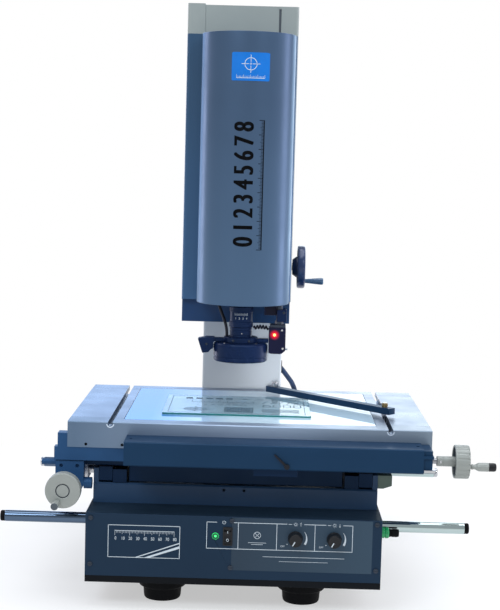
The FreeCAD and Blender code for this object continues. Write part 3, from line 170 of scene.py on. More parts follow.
navy = lin(40, 57, 80)
M = {
    "base": finish_mat("m_base_casting", lin(24, 42, 58), 0.46, 0, 0.10, 7, 900, 0.18, 0.00008, spec=0.3, wear=lin(50, 64, 82)),
    "bed": finish_mat("m_bed", lin(38, 66, 98), 0.42, 0, 0.10, 8, 1100, 0.10, spec=0.25, wear=lin(66, 82, 100)),
    "saddle": finish_mat("m_saddle", lin(13, 32, 60), 0.42, 0, 0.10, 8, 1100, 0.10, spec=0.18, tint=(0.5, 0.75, 1.0)),
    "panel": finish_mat("m_panel", lin(27, 43, 62), 0.42, 0, 0.08, 4, 1500, 0.07, spec=0.22, tint=(0.5, 0.75, 1.0)),
    "film": finish_mat("m_panel_film", lin(38, 57, 74), 0.44, 0, 0.08, 4, 1500, 0.05, spec=0.3),
    "black_steel": finish_mat("m_black_steel", lin(8, 12, 18), 0.5, 0, 0.15, 9, 1500, 0.12, spec=0.12),
    "column": finish_mat("m_column", lin(206, 212, 218), 0.46, 0, 0.04, 5, 700, 0.30, 0.00012, coat=0.05, coat_rough=0.4),
    "housing": finish_mat("m_housing", lin(142, 150, 149), 0.44, 0, 0.05, 5, 800, 0.22, 0.0001, spec=0.4),
    "cover": finish_mat("m_cover", lin(66, 86, 112), 0.33, 0.45, 0.04, 3, 1600, 0.06, coat=0.0, tint=(0.55, 0.76, 1.0)),
    "casing": finish_mat("m_casing", lin(38, 73, 106), 0.36, 0.3, 0.05, 3, 1600, 0.06, coat=0.1, coat_rough=0.3),
    "carrier": finish_mat("m_carrier", lin(30, 64, 106), 0.40, 0.1, 0.08, 6, 1300, 0.08, spec=0.3),
    "stage": finish_mat("m_stage", lin(122, 137, 158), 0.30, 0.8, 0.05, 5, 260, 0.05, 0.00004, stretch=(1, 26, 26), dr=0.05),
    "scale": finish_mat("m_scale_housing", lin(22, 49, 77), 0.38, 0.1, 0.08, 5, 1300, 0.06, spec=0.22, tint=(0.5, 0.75, 1.0)),
    "bracket": finish_mat("m_bracket", lin(38, 72, 112), 0.42, 0.1, 0.12, 9, 1200, 0.08, spec=0.25, tint=(0.5, 0.75, 1.0)),
    "rail": finish_mat("m_ground_steel", lin(150, 152, 156), 0.22, 1.0, 0.06, 12, 300, 0.05, 0.00003, stretch=(30, 1, 30)),
    "steel": finish_mat("m_plated_steel", lin(190, 192, 196), 0.20, 1.0, 0.06, 30, 900, 0.05, 0.00003),
    "chrome": finish_mat("m_chrome", lin(158, 172, 184), 0.09, 1.0, 0.03, 10, 260, 0.03, 0.00002, stretch=(1, 40, 40), dr=0.03),
    "wheel": finish_mat("m_wheel_grey", lin(148, 153, 150), 0.40, 0.2, 0.05, 25, 1800, 0.12, 0.00006),
    # painted shade: dark grey laid into hollows, grooves and recesses of the wheels, the knob and the housing groove
    "hollow_shade": finish_mat("m_painted_hollow_shade", lin(72, 80, 88), 0.5, 0.1, 0.1, 25, 1500, 0.1),
    "black": finish_mat("m_black_plastic", lin(13, 15, 20), 0.38, 0, 0.15, 30, 1800, 0.12, 0.00006, spec=0.35),
    "black_wheel": finish_mat("m_black_wheel", lin(26, 50, 94), 0.24, 0.15, 0.12, 18, 1500, 0.06, coat=0.3, coat_rough=0.2),
    "lens": finish_mat("m_black_anodised", lin(16, 31, 64), 0.30, 0.15, 0.12, 20, 1500, 0.05, spec=0.2, tint=(0.5, 0.75, 1.0)),
    "lens_dark": finish_mat("m_lens_inside", lin(8, 10, 14), 0.55, 0.3, 0.2, 20, 1500, 0.05),
    "rubber": finish_mat("m_rubber", lin(5, 6, 9), 0.62, 0, 0.15, 40, 1200, 0.25, 0.0001, spec=0.12),
    "cord": finish_mat("m_cord", lin(15, 19, 34), 0.45, 0, 0.15, 60, 1600, 0.15, 0.00006, spec=0.25),
    "green": finish_mat("m_green", lin(10, 165, 95), 0.28, 0, 0.1, 60, 1500, 0.06, coat=0.3),
    "scale_green": finish_mat("m_grey_green", lin(82, 100, 92), 0.45, 0.1, 0.10, 14, 1200, 0.15),
    "white": finish_mat("m_print_white", lin(196, 207, 216), 0.45, 0, 0.05, 90, 1800, 0.05),
    "ink": finish_mat("m_print_black", lin(5, 7, 12), 0.6, 0, 0.15, 60, 1800, 0.05, spec=0.1),
    "blue": finish_mat("m_badge_blue", lin(0, 108, 198), 0.34, 0, 0.06, 30, 1800, 0.02, spec=0.3),
    "led_ring": finish_mat("m_led_body", lin(150, 160, 158), 0.35, 0.5, 0.1, 80, 1500, 0.06),
    "led": finish_mat("m_led_green", lin(60, 220, 110), 0.3, 0, 0.1, 200, 1500, 0.03, emit=(lin(60, 210, 120), 1.0)),
    "red": finish_mat("m_laser_red", lin(230, 20, 30), 0.3, 0, 0.1, 300, 1500, 0.03, emit=(lin(255, 30, 40), 3.0)),
    "red_core": finish_mat("m_laser_core", lin(255, 200, 120), 0.3, 0, 0.02, 300, 1500, 0.03, emit=(lin(255, 150, 60), 6.0)),
    "laser_body": finish_mat("m_laser_body", lin(9, 13, 44), 0.35, 0.1, 0.12, 30, 1500, 0.06, spec=0.2),
    "led_dot": finish_mat("m_led_white", lin(226, 232, 236), 0.3, 0, 0.04, 300, 1500, 0.03),
    "diffuser": finish_mat("m_diffuser", lin(214, 222, 228), 0.6, 0, 0.05, 40, 1500, 0.08),
    "brass": finish_mat("m_brass", lin(128, 112, 78), 0.3, 1.0, 0.08, 60, 900, 0.05),
    "board": finish_mat("m_board", lin(20, 80, 60), 0.5, 0, 0.15, 60, 900, 0.1),
    "cord_blue": finish_mat("m_cord_blue", lin(40, 56, 84), 0.45, 0, 0.15, 60, 1600, 0.15, 0.00006, spec=0.3),
    # the Y rails darker and bluer than the X rails
    "rail_dark": finish_mat("m_rail_dark_steel", lin(22, 32, 50), 0.4, 0.1, 0.15, 14, 900, 0.06, spec=0.25),
    "lever": finish_mat("m_lever", lin(10, 15, 26), 0.34, 0.1, 0.12, 60, 900, 0.05, spec=0.3),
    "screw_dark": finish_mat("m_screw_dark", lin(52, 60, 72), 0.30, 0.7, 0.12, 60, 900, 0.05),
    # painted highlight for the rims of the T-slot openings on the stage front
    "notch": finish_mat("m_slot_rim_highlight", lin(205, 220, 238), 0.25, 0.3, 0.05, 60, 900, 0.03),
    "pattern": finish_mat("m_pattern_ink", lin(70, 98, 116), 0.6, 0, 0.15, 200, 900, 0.02, spec=0.2),
    "optic": finish_mat("m_front_lens", lin(30, 40, 70), 0.05, 0.2, 0.15, 60, 900, 0.01, coat=1.0, coat_rough=0.02),
    "glass": glass_mat("m_stage_glass", (0.90, 0.94, 0.98), 0.02, 1.5, 0.96, 0.12),
    "plate": glass_mat("m_plate_glass", (0.62, 0.86, 0.94), 0.02, 1.5, 0.7, 0.8),
    # painted light: a lighter copy of the stage metal for the lit front rail
    "stage_front": finish_mat("m_stage_front_lit_copy", lin(146, 164, 188), 0.34, 0.5, 0.05, 5, 260, 0.05, 0.00004, stretch=(1, 26, 26), dr=0.05),
    "crank_blue": finish_mat("m_crank_blue", lin(58, 92, 126), 0.26, 0.15, 0.10, 18, 1500, 0.06, coat=0.3, coat_rough=0.2),
    "plate_edge": finish_mat("m_plate_edge", lin(104, 198, 196), 0.2, 0, 0.1, 40, 900, 0.03, coat=0.3),
}


def grade(m, axis, lo, hi, a, b2, end=None):
    """Paint light and shade into a finish: multiply its colour by a gradient along one axis of the piece it covers."""
    nt = m.node_tree
    b = nt.nodes["Principled BSDF"]
    src = b.inputs["Base Color"].links[0].from_socket
    tc = node(nt, "ShaderNodeTexCoord")
    sp = node(nt, "ShaderNodeSeparateXYZ")
    nt.links.new(tc.outputs["Generated"], sp.inputs[0])
    rp = ramp(nt, sp.outputs[axis], lo, hi, a, b2)
    if end:
        rp.color_ramp.elements.new(1.0).color = (*end, 1)
    mx = node(nt, "ShaderNodeMix", data_type="RGBA", blend_type="MULTIPLY")
    mx.inputs["Factor"].default_value = 1.0
    nt.links.new(src, mx.inputs["A"])
    nt.links.new(rp.outputs["Color"], mx.inputs["B"])
    nt.links.new(mx.outputs["Result"], b.inputs["Base Color"])


# painted reflection and shade: the stage glass darker and bluer towards its left end, lighter towards the middle
grade(M["glass"], "X", 0.10, 0.42, (0.0, 0.26, 0.78), (0.66, 0.84, 0.96))
# painted light: the head cover lighter towards the bottom
grade(M["cover"], "Z", 0.05, 0.75, (1.38, 1.42, 1.38), (1.0, 1.0, 1.0))
# painted light: the rear casing lighter towards the bottom
grade(M["casing"], "Z", 0.05, 0.85, (1.5, 1.55, 1.6), (1.1, 1.05, 1.0))
# painted light and shade: the carrying rods darker at the left end, brighter at the right
grade(M["chrome"], "X", 0.25, 0.75, (0.28, 0.34, 0.44), (1.4, 1.4, 1.2))
# painted light and shade: the front rail dark at its left end, brightest from the middle on, slightly darker at the
# right end
grade(M["stage_front"], "X", 0.02, 0.45, (0.36, 0.44, 0.50), (1.0, 1.0, 1.0), (0.68, 0.68, 0.64))
# painted light: the panel film lighter towards its right end
grade(M["film"], "X", 0.05, 0.95, (0.82, 0.86, 0.88), (1.35, 1.35, 1.30))

# the laser's light on the block around its window fades with the distance from it
nt = M["laser_body"].node_tree
b = nt.nodes["Principled BSDF"]
tc = node(nt, "ShaderNodeTexCoord")
ds = node(nt, "ShaderNodeVectorMath", operation="DISTANCE")
nt.links.new(tc.outputs["Object"], ds.inputs[0])
ds.inputs[1].default_value = P(49.6, 198, 354)
mr = node(nt, "ShaderNodeMapRange", interpolation_type="SMOOTHERSTEP")
mr.inputs["From Min"].default_value = 0.003
mr.inputs["From Max"].default_value = 0.009
mr.inputs["To Min"].default_value = 0.75
mr.inputs["To Max"].default_value = 0.0
nt.links.new(ds.outputs["Value"], mr.inputs["Value"])
b.inputs["Emission Color"].default_value = (1.0, 0.004, 0.02, 1)
nt.links.new(mr.outputs["Result"], b.inputs["Emission Strength"])


# ---------------------------------------------------------------- geometry
def soften(pts, rad, closed=True, n=3):
    """Round each corner of a 2-D polygon with a small curve."""
    if rad <= 0:
        return list(pts)
    out = []
    k = len(pts)
    for i, p in enumerate(pts):
        if not closed and i in (0, k - 1):
            out.append(p)
            continue
        a, c = pts[i - 1], pts[(i + 1) % k]
        la = math.hypot(a[0] - p[0], a[1] - p[1])
        lc = math.hypot(c[0] - p[0], c[1] - p[1])
        if la < 1e-6 or lc < 1e-6:
            out.append(p)
            continue
        t = min(rad, 0.42 * la, 0.42 * lc)
        s = (p[0] + (a[0] - p[0]) * t / la, p[1] + (a[1] - p[1]) * t / la)
        e = (p[0] + (c[0] - p[0]) * t / lc, p[1] + (c[1] - p[1]) * t / lc)
        for j in range(n + 1):
            u = j / n
            out.append(tuple((1 - u) ** 2 * s[q] + 2 * u * (1 - u) * p[q] + u * u * e[q] for q in (0, 1)))
    return out


def place(axis, c, r, t, a):
    if axis == "X":
        return (a, c[0] + r * math.cos(t), c[1] + r * math.sin(t))
    if axis == "Y":
        return (c[0] + r * math.cos(t), a, c[1] + r * math.sin(t))
    return (c[0] + r * math.cos(t), c[1] + r * math.sin(t), a)


def on_plane(plane, u, v, a):
    return {"XY": (u, v, a), "XZ": (u, a, v), "YZ": (a, u, v)}[plane]


class Shape:
    """Collects solids (millimetres, design frame) into one mesh with several materials."""

    def __init__(self):
        self.bm = bmesh.new()
        self.mats = []

    def slot(self, mat):
        if mat not in self.mats:
            self.mats.append(mat)
        return self.mats.index(mat)

    def verts(self, pts):
        return [self.bm.verts.new(P(*p)) for p in pts]

    def face(self, vs, k):
        try:
            f = self.bm.faces.new(vs)
        except ValueError:
            return None
        f.material_index = k
        f.smooth = True
        return f

    def lathe(self, axis, c, prof, mat, seg=64, soft=0.0, wave=None, bands=None, closed=None):
        """Turn a profile of (radius, along-axis) points; wave(t, r, a) may change the radius."""
        k = self.slot(mat)
        pole0, pole1 = prof[0][0] < 1e-6, prof[-1][0] < 1e-6
        ring = not (pole0 or pole1)
        prof = soften(prof, soft, closed=ring) if soft else list(prof)
        rows = []
        for r, a in prof:
            if r < 1e-6:
                rows.append(self.verts([place(axis, c, 0, 0, a)]))
                continue
            pts = []
            for i in range(seg):
                t = 2 * math.pi * i / seg
                rr = wave(t, r, a) if wave else r
                pts.append(place(axis, c, rr, t, a))
            rows.append(self.verts(pts))
        pairs = list(zip(rows, rows[1:])) + ([(rows[-1], rows[0])] if ring else [])
        for q, (a, b) in enumerate(pairs):
            kk = k
            if bands:
                a0, a1 = prof[q][1], prof[(q + 1) % len(prof)][1]
                r0, r1 = prof[q][0], prof[(q + 1) % len(prof)][0]
                for test, m2 in bands:
                    if test((r0 + r1) / 2, (a0 + a1) / 2):
                        kk = self.slot(m2)
            for i in range(seg):
                j = (i + 1) % seg
                if len(a) == 1 and len(b) == 1:
                    continue
                if len(a) == 1:
                    self.face([a[0], b[i], b[j]], kk)
                elif len(b) == 1:
                    self.face([a[i], a[j], b[0]], kk)
                else:
                    self.face([a[i], a[j], b[j], b[i]], kk)
        return self

    def prism(self, plane, pts, a0, a1, mat, soft=0.0, edge=0.0, cuts=1):
        k = self.slot(mat)
        pts = soften(pts, soft) if soft else list(pts)
        lv = [a0 + (a1 - a0) * i / cuts for i in range(cuts + 1)]
        rows = [self.verts([on_plane(plane, u, v, a) for u, v in pts]) for a in lv]
        n = len(pts)
        fs = [self.face(list(reversed(rows[0])), k), self.face(rows[-1], k)]
        for lo, hi in zip(rows, rows[1:]):
            for i in range(n):
                j = (i + 1) % n
                fs.append(self.face([lo[i], lo[j], hi[j], hi[i]], k))
        if edge:
            es = set()
            for f in fs[:2]:
                es.update(f.edges)
            if not soft:
                for f in fs[2:]:
                    es.update(f.edges)
            bmesh.ops.bevel(self.bm, geom=list(es), offset=edge / 1000.0, segments=2, profile=0.5, affect="EDGES",
                            clamp_overlap=True)
        return self

    def box(self, x0, x1, y0, y1, z0, z1, mat, edge=0.5):
        return self.prism("XY", [(x0, y0), (x1, y0), (x1, y1), (x0, y1)], z0, z1, mat, edge=edge)

    def plate_with_hole(self, plane, outer, holes, a0, a1, mat, edge=0.0):
        """A flat plate with round or polygonal holes: bridged by triangulated caps."""
        k = self.slot(mat)
        loops = [outer] + holes
        rings = []
        for lp in loops:
            rings.append((self.verts([on_plane(plane, u, v, a0) for u, v in lp]),
                          self.verts([on_plane(plane, u, v, a1) for u, v in lp])))
        made = []
        for lo, hi in rings:
            n = len(lo)
            for i in range(n):
                j = (i + 1) % n
                made.append(self.face([lo[i], lo[j], hi[j], hi[i]], k))
        for side in (0, 1):
            es = []
            for r in rings:
                vs = r[side]
                for i in range(len(vs)):
                    e = self.bm.edges.get((vs[i], vs[(i + 1) % len(vs)]))
                    es.append(e)
            res = bmesh.ops.triangle_fill(self.bm, use_beauty=True, use_dissolve=False, edges=es)
            for g in res["geom"]:
                if isinstance(g, bmesh.types.BMFace):
                    g.material_index = k
                    g.smooth = True
        return self

    def sweep(self, pts, r, mat, seg=14, cap=True):
        """A round tube along a polyline given in millimetres."""
        k = self.slot(mat)
        pts = [Vector(p) for p in pts]
        rows = []
        up = Vector((0, 0, 1))
        t0 = (pts[1] - pts[0]).normalized()
        side = t0.cross(up)
        if side.length < 1e-3:
            side = t0.cross(Vector((0, 1, 0)))
        side.normalize()
        for i, p in enumerate(pts):
            t = (pts[min(i + 1, len(pts) - 1)] - pts[max(i - 1, 0)]).normalized()
            side = (side - t * side.dot(t)).normalized()
            nrm = t.cross(side)
            rr = r[i] if isinstance(r, (list, tuple)) else r
            rows.append(self.verts([p + side * (rr * math.cos(2 * math.pi * j / seg)) +
                                    nrm * (rr * math.sin(2 * math.pi * j / seg)) for j in range(seg)]))
        for a, b in zip(rows, rows[1:]):
            for i in range(seg):
                j = (i + 1) % seg
                self.face([a[i], a[j], b[j], b[i]], k)
        if cap:
            self.face(list(reversed(rows[0])), k)
            self.face(rows[-1], k)
        return self

    def screw(self, axis, c, a, out, r, mat, h=None, hexed=False):
        """A cap screw head with a recessed socket; out is +1 or -1 along the axis."""
        h = h or r * 0.9
        prof = [(0, a - out * 0.3), (r, a - out * 0.3), (r, a + out * (h - 0.25 * r)), (r * 0.82, a + out * h),
                (r * 0.5, a + out * h), (r * 0.46, a + out * h * 0.45), (0, a + out * h * 0.42)]
        return self.lathe(axis, c, prof, mat, 24 if not hexed else 6)

    def make(self, name, body, replaces=(), slot=None, angle=38.0, weighted=True):
        bmesh.ops.remove_doubles(self.bm, verts=self.bm.verts, dist=1e-7)
        bmesh.ops.recalc_face_normals(self.bm, faces=self.bm.faces)
        me = bpy.data.meshes.new(name)
        self.bm.to_mesh(me)
        self.bm.free()
        for m in self.mats:
            me.materials.append(m)
        for p in me.polygons:
            p.use_smooth = True
        me.set_sharp_from_angle(angle=math.radians(angle))
        o = bpy.data.objects.new(name, me)
        bpy.context.scene.collection.objects.link(o)
        if weighted:
            w = o.modifiers.new("normals", "WEIGHTED_NORMAL")
            w.keep_sharp = True
            w.weight = 80
        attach(o, body)
        if replaces:
            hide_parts(*replaces)
        return o


def dress(names, mat, bevel=0.5, angle=32, segs=2):
    """Materials and softened edges on carried-over CAD nodes."""
    for n in names:
        o = NODES[n]
        o.data.materials.clear()
        o.data.materials.append(mat)
        for p in o.data.polygons:
            p.use_smooth = True
            p.material_index = 0
        w = o.modifiers.new("weld", "WELD")
        w.merge_threshold = 2e-6
        if bevel:
            b = o.modifiers.new("edges", "BEVEL")
            b.width = bevel / 1000.0
            b.segments = segs
            b.limit_method = "ANGLE"
            b.angle_limit = math.radians(angle)
            b.use_clamp_overlap = True
        e = o.modifiers.new("creases", "EDGE_SPLIT")
        e.split_angle = math.radians(48)
        e.use_edge_sharp = False
        n2 = o.modifiers.new("normals", "WEIGHTED_NORMAL")
        n2.weight = 90


def text_flat(body, size, rot=0.0, bold=0.0, squeeze=1.0):
    """Outline of plain numerals or marks as a list of (verts, faces) in 2-D, centred on the origin."""
    cu = bpy.data.curves.new("t", "FONT")
    cu.body = body
    cu.size = size
    cu.align_x = "CENTER"
    cu.align_y = "CENTER"
    cu.offset = bold
    cu.resolution_u = 4
    ob = bpy.data.objects.new("t", cu)
    bpy.context.scene.collection.objects.link(ob)
    bpy.context.view_layer.update()
    dg = bpy.context.evaluated_depsgraph_get()
    me = bpy.data.meshes.new_from_object(ob.evaluated_get(dg))
    bpy.data.objects.remove(ob)
    bpy.data.curves.remove(cu)
    c, s = math.cos(rot), math.sin(rot)
    vs = [(v.co.x * squeeze * c - v.co.y * s, v.co.x * squeeze * s + v.co.y * c) for v in me.vertices]
    fs = [list(p.vertices) for p in me.polygons]
    bpy.data.meshes.remove(me)
    return vs, fs


def sliced(vs, fs, step):
    """Cut a flat outline at even steps of u, so that it can bend round a curved surface."""
    bm = bmesh.new()
    bv = [bm.verts.new((u, v, 0)) for u, v in vs]
    for f in fs:
        try:
            bm.faces.new([bv[i] for i in f])
        except ValueError:
            pass
    lo, hi = min(u for u, v in vs), max(u for u, v in vs)
    x = math.ceil(lo / step) * step
    while x < hi:
        bmesh.ops.bisect_plane(bm, geom=bm.verts[:] + bm.edges[:] + bm.faces[:], dist=1e-4, plane_co=(x, 0, 0),
                               plane_no=(1, 0, 0))
        x += step
    bm.verts.index_update()
    vs = [(v.co.x, v.co.y) for v in bm.verts]
    fs = [[v.index for v in f.verts] for f in bm.faces]
    bm.free()
    return vs, fs


class Print:
    """Thin closed relief (ink or film) laid on a surface through a mapping (u, v, lift) -> point."""

    def __init__(self, mapping, lift=0.12, sink=0.08):
        self.map = mapping
        self.lift = lift
        self.sink = sink
        self.shape = Shape()

    def flat(self, vs, fs, mat):
        k = self.shape.slot(mat)
        bm = self.shape.bm
        top = [bm.verts.new(P(*self.map(u, v, self.lift))) for u, v in vs]
        bot = [bm.verts.new(P(*self.map(u, v, -self.sink))) for u, v in vs]
        count = {}
        for f in fs:
            for i in range(len(f)):
                e = (f[i], f[(i + 1) % len(f)])
                key = tuple(sorted(e))
                count.setdefault(key, []).append(e)
        for f in fs:
            self.shape.face([top[i] for i in f], k)
            self.shape.face([bot[i] for i in reversed(f)], k)
        for key, es in count.items():
            if len(es) == 1:
                a, b = es[0]
                self.shape.face([top[b], top[a], bot[a], bot[b]], k)
        return self

    def rect(self, u0, u1, v0, v1, mat, nu=1):
        vs, fs = [], []
        for i in range(nu + 1):
            u = u0 + (u1 - u0) * i / nu
            vs += [(u, v0), (u, v1)]
        for i in range(nu):
            fs.append([2 * i, 2 * i + 2, 2 * i + 3, 2 * i + 1])
        return self.flat(vs, fs, mat)

    def line(self, a, b, w, mat):
        dx, dy = b[0] - a[0], b[1] - a[1]
        ln = math.hypot(dx, dy)
        nx, ny = -dy / ln * w / 2, dx / ln * w / 2
        return self.flat([(a[0] + nx, a[1] + ny), (a[0] - nx, a[1] - ny), (b[0] - nx, b[1] - ny), (b[0] + nx, b[1] + ny)],
                         [[0, 1, 2, 3]], mat)

    def arc(self, cx, cy, r, t0, t1, w0, w1, mat, n=24):
        vs, fs = [], []
        for i in range(n + 1):
            s = i / n
            t = math.radians(t0 + (t1 - t0) * s)
            w = w0 + (w1 - w0) * s
            vs += [(cx + (r - w / 2) * math.cos(t), cy + (r - w / 2) * math.sin(t)),
                   (cx + (r + w / 2) * math.cos(t), cy + (r + w / 2) * math.sin(t))]
        for i in range(n):
            fs.append([2 * i, 2 * i + 1, 2 * i + 3, 2 * i + 2])
        return self.flat(vs, fs, mat)

    def frame(self, x0, x1, z0, z1, w, mat, gaps=()):
        """A printed rectangle; gaps are (side, from, to) left open in the top or bottom line."""
        for z, side in ((z1, "top"), (z0, "bottom")):
            cuts = sorted((g[1], g[2]) for g in gaps if g[0] == side)
            at = x0
            for a, b in cuts + [(x1, x1)]:
                if a - at > 0.2:
                    self.rect(at, a, z - w / 2, z + w / 2, mat)
                at = b
        self.rect(x0 - w / 2, x0 + w / 2, z0 - w / 2, z1 + w / 2, mat)
        self.rect(x1 - w / 2, x1 + w / 2, z0 - w / 2, z1 + w / 2, mat)
        return self

    def text(self, body, size, at, mat, rot=0.0, bold=0.0, squeeze=1.0, step=0.0):
        vs, fs = text_flat(body, size, rot, bold, squeeze)
        vs = [(u + at[0], v + at[1]) for u, v in vs]
        if step:
            vs, fs = sliced(vs, fs, step)
        return self.flat(vs, fs, mat)

    def make(self, name, body, slot=None):
        return self.shape.make(name, body, (), slot, weighted=False)


# ---------------------------------------------------------------- carried-over CAD nodes
dress(["base_casting"], M["base"], 0.8)
dress(["y_bed"], M["bed"], 0.8)
dress(["bottom_plate"], M["black_steel"], 0.5)
dress(["saddle"], M["saddle"], 0.8)
dress(["column"], M["column"], 1.0)
dress(["z_housing"], M["housing"], 0.6)
dress(["stage_rear_rail", "stage_side_left", "stage_side_right"], M["stage"], 0.6)
dress(["stage_front_rail"], M["stage_front"], 0.6)
dress(["stage_glass"], M["glass"], 0.4)
dress(["x_scale_unit"], M["scale"], 0.6)
dress(["x_rod_bearings", "y_drive_brackets"], M["bracket"], 0.6)
dress(["scale_readers"], M["saddle"], 0.6)
dress(["y_scale_unit"], M["scale_green"], 0.5)
dress(["y_rails_lower", "y_rails_upper"], M["rail_dark"], 0.25)
dress(["x_rails_lower", "x_rails_upper", "z_rails", "z_carriages", "z_rack",
       "z_pinion_shaft", "x_drive_rod", "y_drive_rod"], M["rail"], 0.25)
dress(["y_drive_nut", "x_drive_nut", "clamp_slide_nut"], M["steel"], 0.4)
dress(["x_release_lever"], M["lever"], 0.3)
dress(["panel_and_column_screws"], M["screw_dark"], 0.25)
dress(["lamp_power_unit"], M["board"], 0.4)
dress(["contour_lamp"], M["lens"], 0.5)
dress(["camera"], M["lens"], 0.6)
dress(["head_carrier"], M["carrier"], 0.6)
dress(["head_rear_casing"], M["casing"], 0.6)

# the front panel, with its screw, lamp, knob and rocker holes
s = Shape()


def round_hole(x, z, r, n=28):
    return [(x + r * math.cos(2 * math.pi * i / n), z + r * math.sin(2 * math.pi * i / n)) for i in range(n)]


holes = [round_hole(-24.3, 103, 3.3), round_hole(83.4, 102.8, 3.3), round_hole(135.7, 102.8, 3.3),
         [(-12.8, 91.8), (-2.8, 91.8), (-2.8, 114.2), (-12.8, 114.2)]]
holes += [round_hole(x, z, 1.6, 16) for x, z in ((-193, 123.5), (-193, 60), (-2.5, 124.5), (-3.5, 60), (193, 124.5), (193, 61))]
s.plate_with_hole("XZ", [(-200, 44), (200, 44), (200, 130), (-200, 130)], holes, 0, 3, M["panel"])
o = s.make("front_panel_plate", "base", ["front_panel"], "panel_paint")
b = o.modifiers.new("edges", "BEVEL")
b.width, b.segments, b.limit_method, b.angle_limit = 0.0003, 2, "ANGLE", math.radians(60)

# painted shade: a dark strip laid in the groove of the column housing
s = Shape()
s.box(45.2, 48.5, 441.2, 442.1, 798.5, 849.5, M["hollow_shade"], 0.2)
s.make("housing_groove_shade", "base", (), "housing_paint")
# end covers of the Y guide rails
s = Shape()
for sg in (-1, 1):
    xs = sorted((sg * 151.0, sg * 170.4))
    s.box(xs[0], xs[1], 62.5, 64.0, 158.5, 177.0, M["saddle"], 0.4)
s.make("rail_end_covers_lower", "base", (), "navy_casting")
s = Shape()
for sg in (-1, 1):
    xs = sorted((sg * 170.8, sg * 189.5))
    s.box(xs[0], xs[1], 62.5, 64.0, 161.0, 180.5, M["saddle"], 0.4)
s.make("rail_end_covers_upper", "saddle", (), "navy_casting")

# ---------------------------------------------------------------- feet and carrying rods
s = Shape()
for fx in (-98, 95):
    for fy in (60, 540):
        prof = [(5, 12), (5, 35), (32.6, 35), (33, 34.6), (33, 20.6), (32.4, 18.8), (31, 17.6), (28.6, 16.8), (27.2, 15.8),
                (26.5, 14), (25.7, 4), (25.1, 1.3), (24.2, 0.1), (23.8, 0), (18.5, 0), (18, 1.2), (16.5, 1.2), (16, 0),
                (12.6, 0), (12, 1.2), (10.2, 1.2), (10, 12)]
        s.lathe("Z", (fx, fy), prof, M["rubber"], 72)
s.make("feet_rubber", "base", ["rubber_feet"], "foot_rubber", angle=30)

s = Shape()
for ry in (56, 421):
    prof = [(0, -318), (7.1, -318), (7.75, -317.2), (7.75, -202), (7.45, -202), (7.45, 202), (7.75, 202), (7.75, 317.2), (7.1, 318), (0, 318)]
    s.lathe("X", (ry, 109), prof, M["chrome"], 48)
    for sg in (-1, 1):
        cap = [(0, sg * 318), (7.4, sg * 318), (7.4, sg * 319), (7.0, sg * 319.6), (7.4, sg * 320.2), (7.4, sg * 322),
               (7.0, sg * 323.4), (6.2, sg * 324), (3.0, sg * 324), (2.4, sg * 323.4), (0, sg * 323.4)]
        s.lathe("X", (ry, 109), cap, M["rubber"] if ry == 56 else M["steel"], 48)
s.make("carrying_rods_detail", "base", ["carrying_rods"], "chrome_bar", angle=30)

# ---------------------------------------------------------------- side connector and mains inlet
s = Shape()
knurl = lambda n, amp: (lambda t, r, a: r * (1 + amp * math.cos(n * t)))
s.lathe("X", (34, 105.5), [(0, 190), (5.8, 190), (5.8, 200), (7.4, 200), (7.4, 205.4), (6.7, 205.8), (6.7, 206.8), (7.3, 207.2),
                           (7.3, 211), (6.6, 212), (5.6, 212), (0, 212)], M["green"], 48, 0.2,
        wave=lambda t, r, a: r * (1 + (0.03 * math.cos(18 * t) if r > 7 else 0)))
s.lathe("X", (34, 105.5), [(0, 211.4), (5.6, 211.4), (5.6, 214), (5.1, 214.6), (5.1, 215.6), (5.6, 216.2), (5.6, 223), (4.8, 225.6),
                           (2, 226), (0, 226)],
        M["rubber"], 40, 0.15)
s.box(100, 148, 612, 615, 62, 94, M["black"], 0.6)
s.plate_with_hole("XZ", [(111, 67), (137, 67), (137, 89), (111, 89)], [[(114, 70), (134, 70), (134, 86), (114, 86)]],
                  592, 612.2, M["black"])
for i in range(3):
    s.box(118 + 5 * i, 119.5 + 5 * i, 597, 610, 75 + (3 if i == 1 else 0), 79 + (3 if i == 1 else 0), M["brass"], 0.2)
for sx in (105, 143):
    s.screw("Y", (sx, 78), 615 - 0.6, 1, 2.2, M["steel"], 0.5)
s.make("side_plug_and_inlet", "base", ["base_connectors"], "connector_green")

# ---------------------------------------------------------------- front panel: prints, lamp, rocker, knobs
panel = lambda u, v, lift: (u, -lift, v)
p = Print(panel, 0.16, 0.05)
p.rect(-2.3, 187.2, 56.6, 129.0, M["film"])
p.make("panel_film", "base", "panel_paint")

p = Print(panel, 0.30, 0.02)
W = M["white"]
p.frame(-168.9, -72.4, 70.4, 114.4, 0.75, W)
# two slanted bars in the lower right corner of the left frame
p.flat([(-132, 70.8), (-128.5, 70.8), (-72.8, 90.6), (-72.8, 92.0)], [[0, 1, 2, 3]], W)
p.flat([(-119, 70.8), (-112, 70.8), (-72.8, 84.0), (-72.8, 87.4)], [[0, 1, 2, 3]], W)
# a plain ruled scale
for i in range(41):
    h = 6.4 if i % 10 == 0 else (4.8 if i % 5 == 0 else 3.2)
    p.rect(-160.0 + 2.0 * i - 0.2, -160.0 + 2.0 * i + 0.2, 106.8 - h, 106.8, W)
p.rect(-160.4, -79.6, 106.6, 107.3, W)
for i in range(9):
    p.text(str(i * 10), 6.2, (-159.0 + 10.0 * i, 96.2), W, 0.0, 0.0, 0.8)
p.frame(-36.1, 160.3, 86.0, 122.1, 0.75, W, gaps=[("top", -22.6, -3.4), ("top", 72.0, 95.0), ("top", 124.5, 147.5)])
for x in (6.3, 58.2, 109.6):
    p.rect(x - 0.37, x + 0.37, 86.4, 121.7, W)
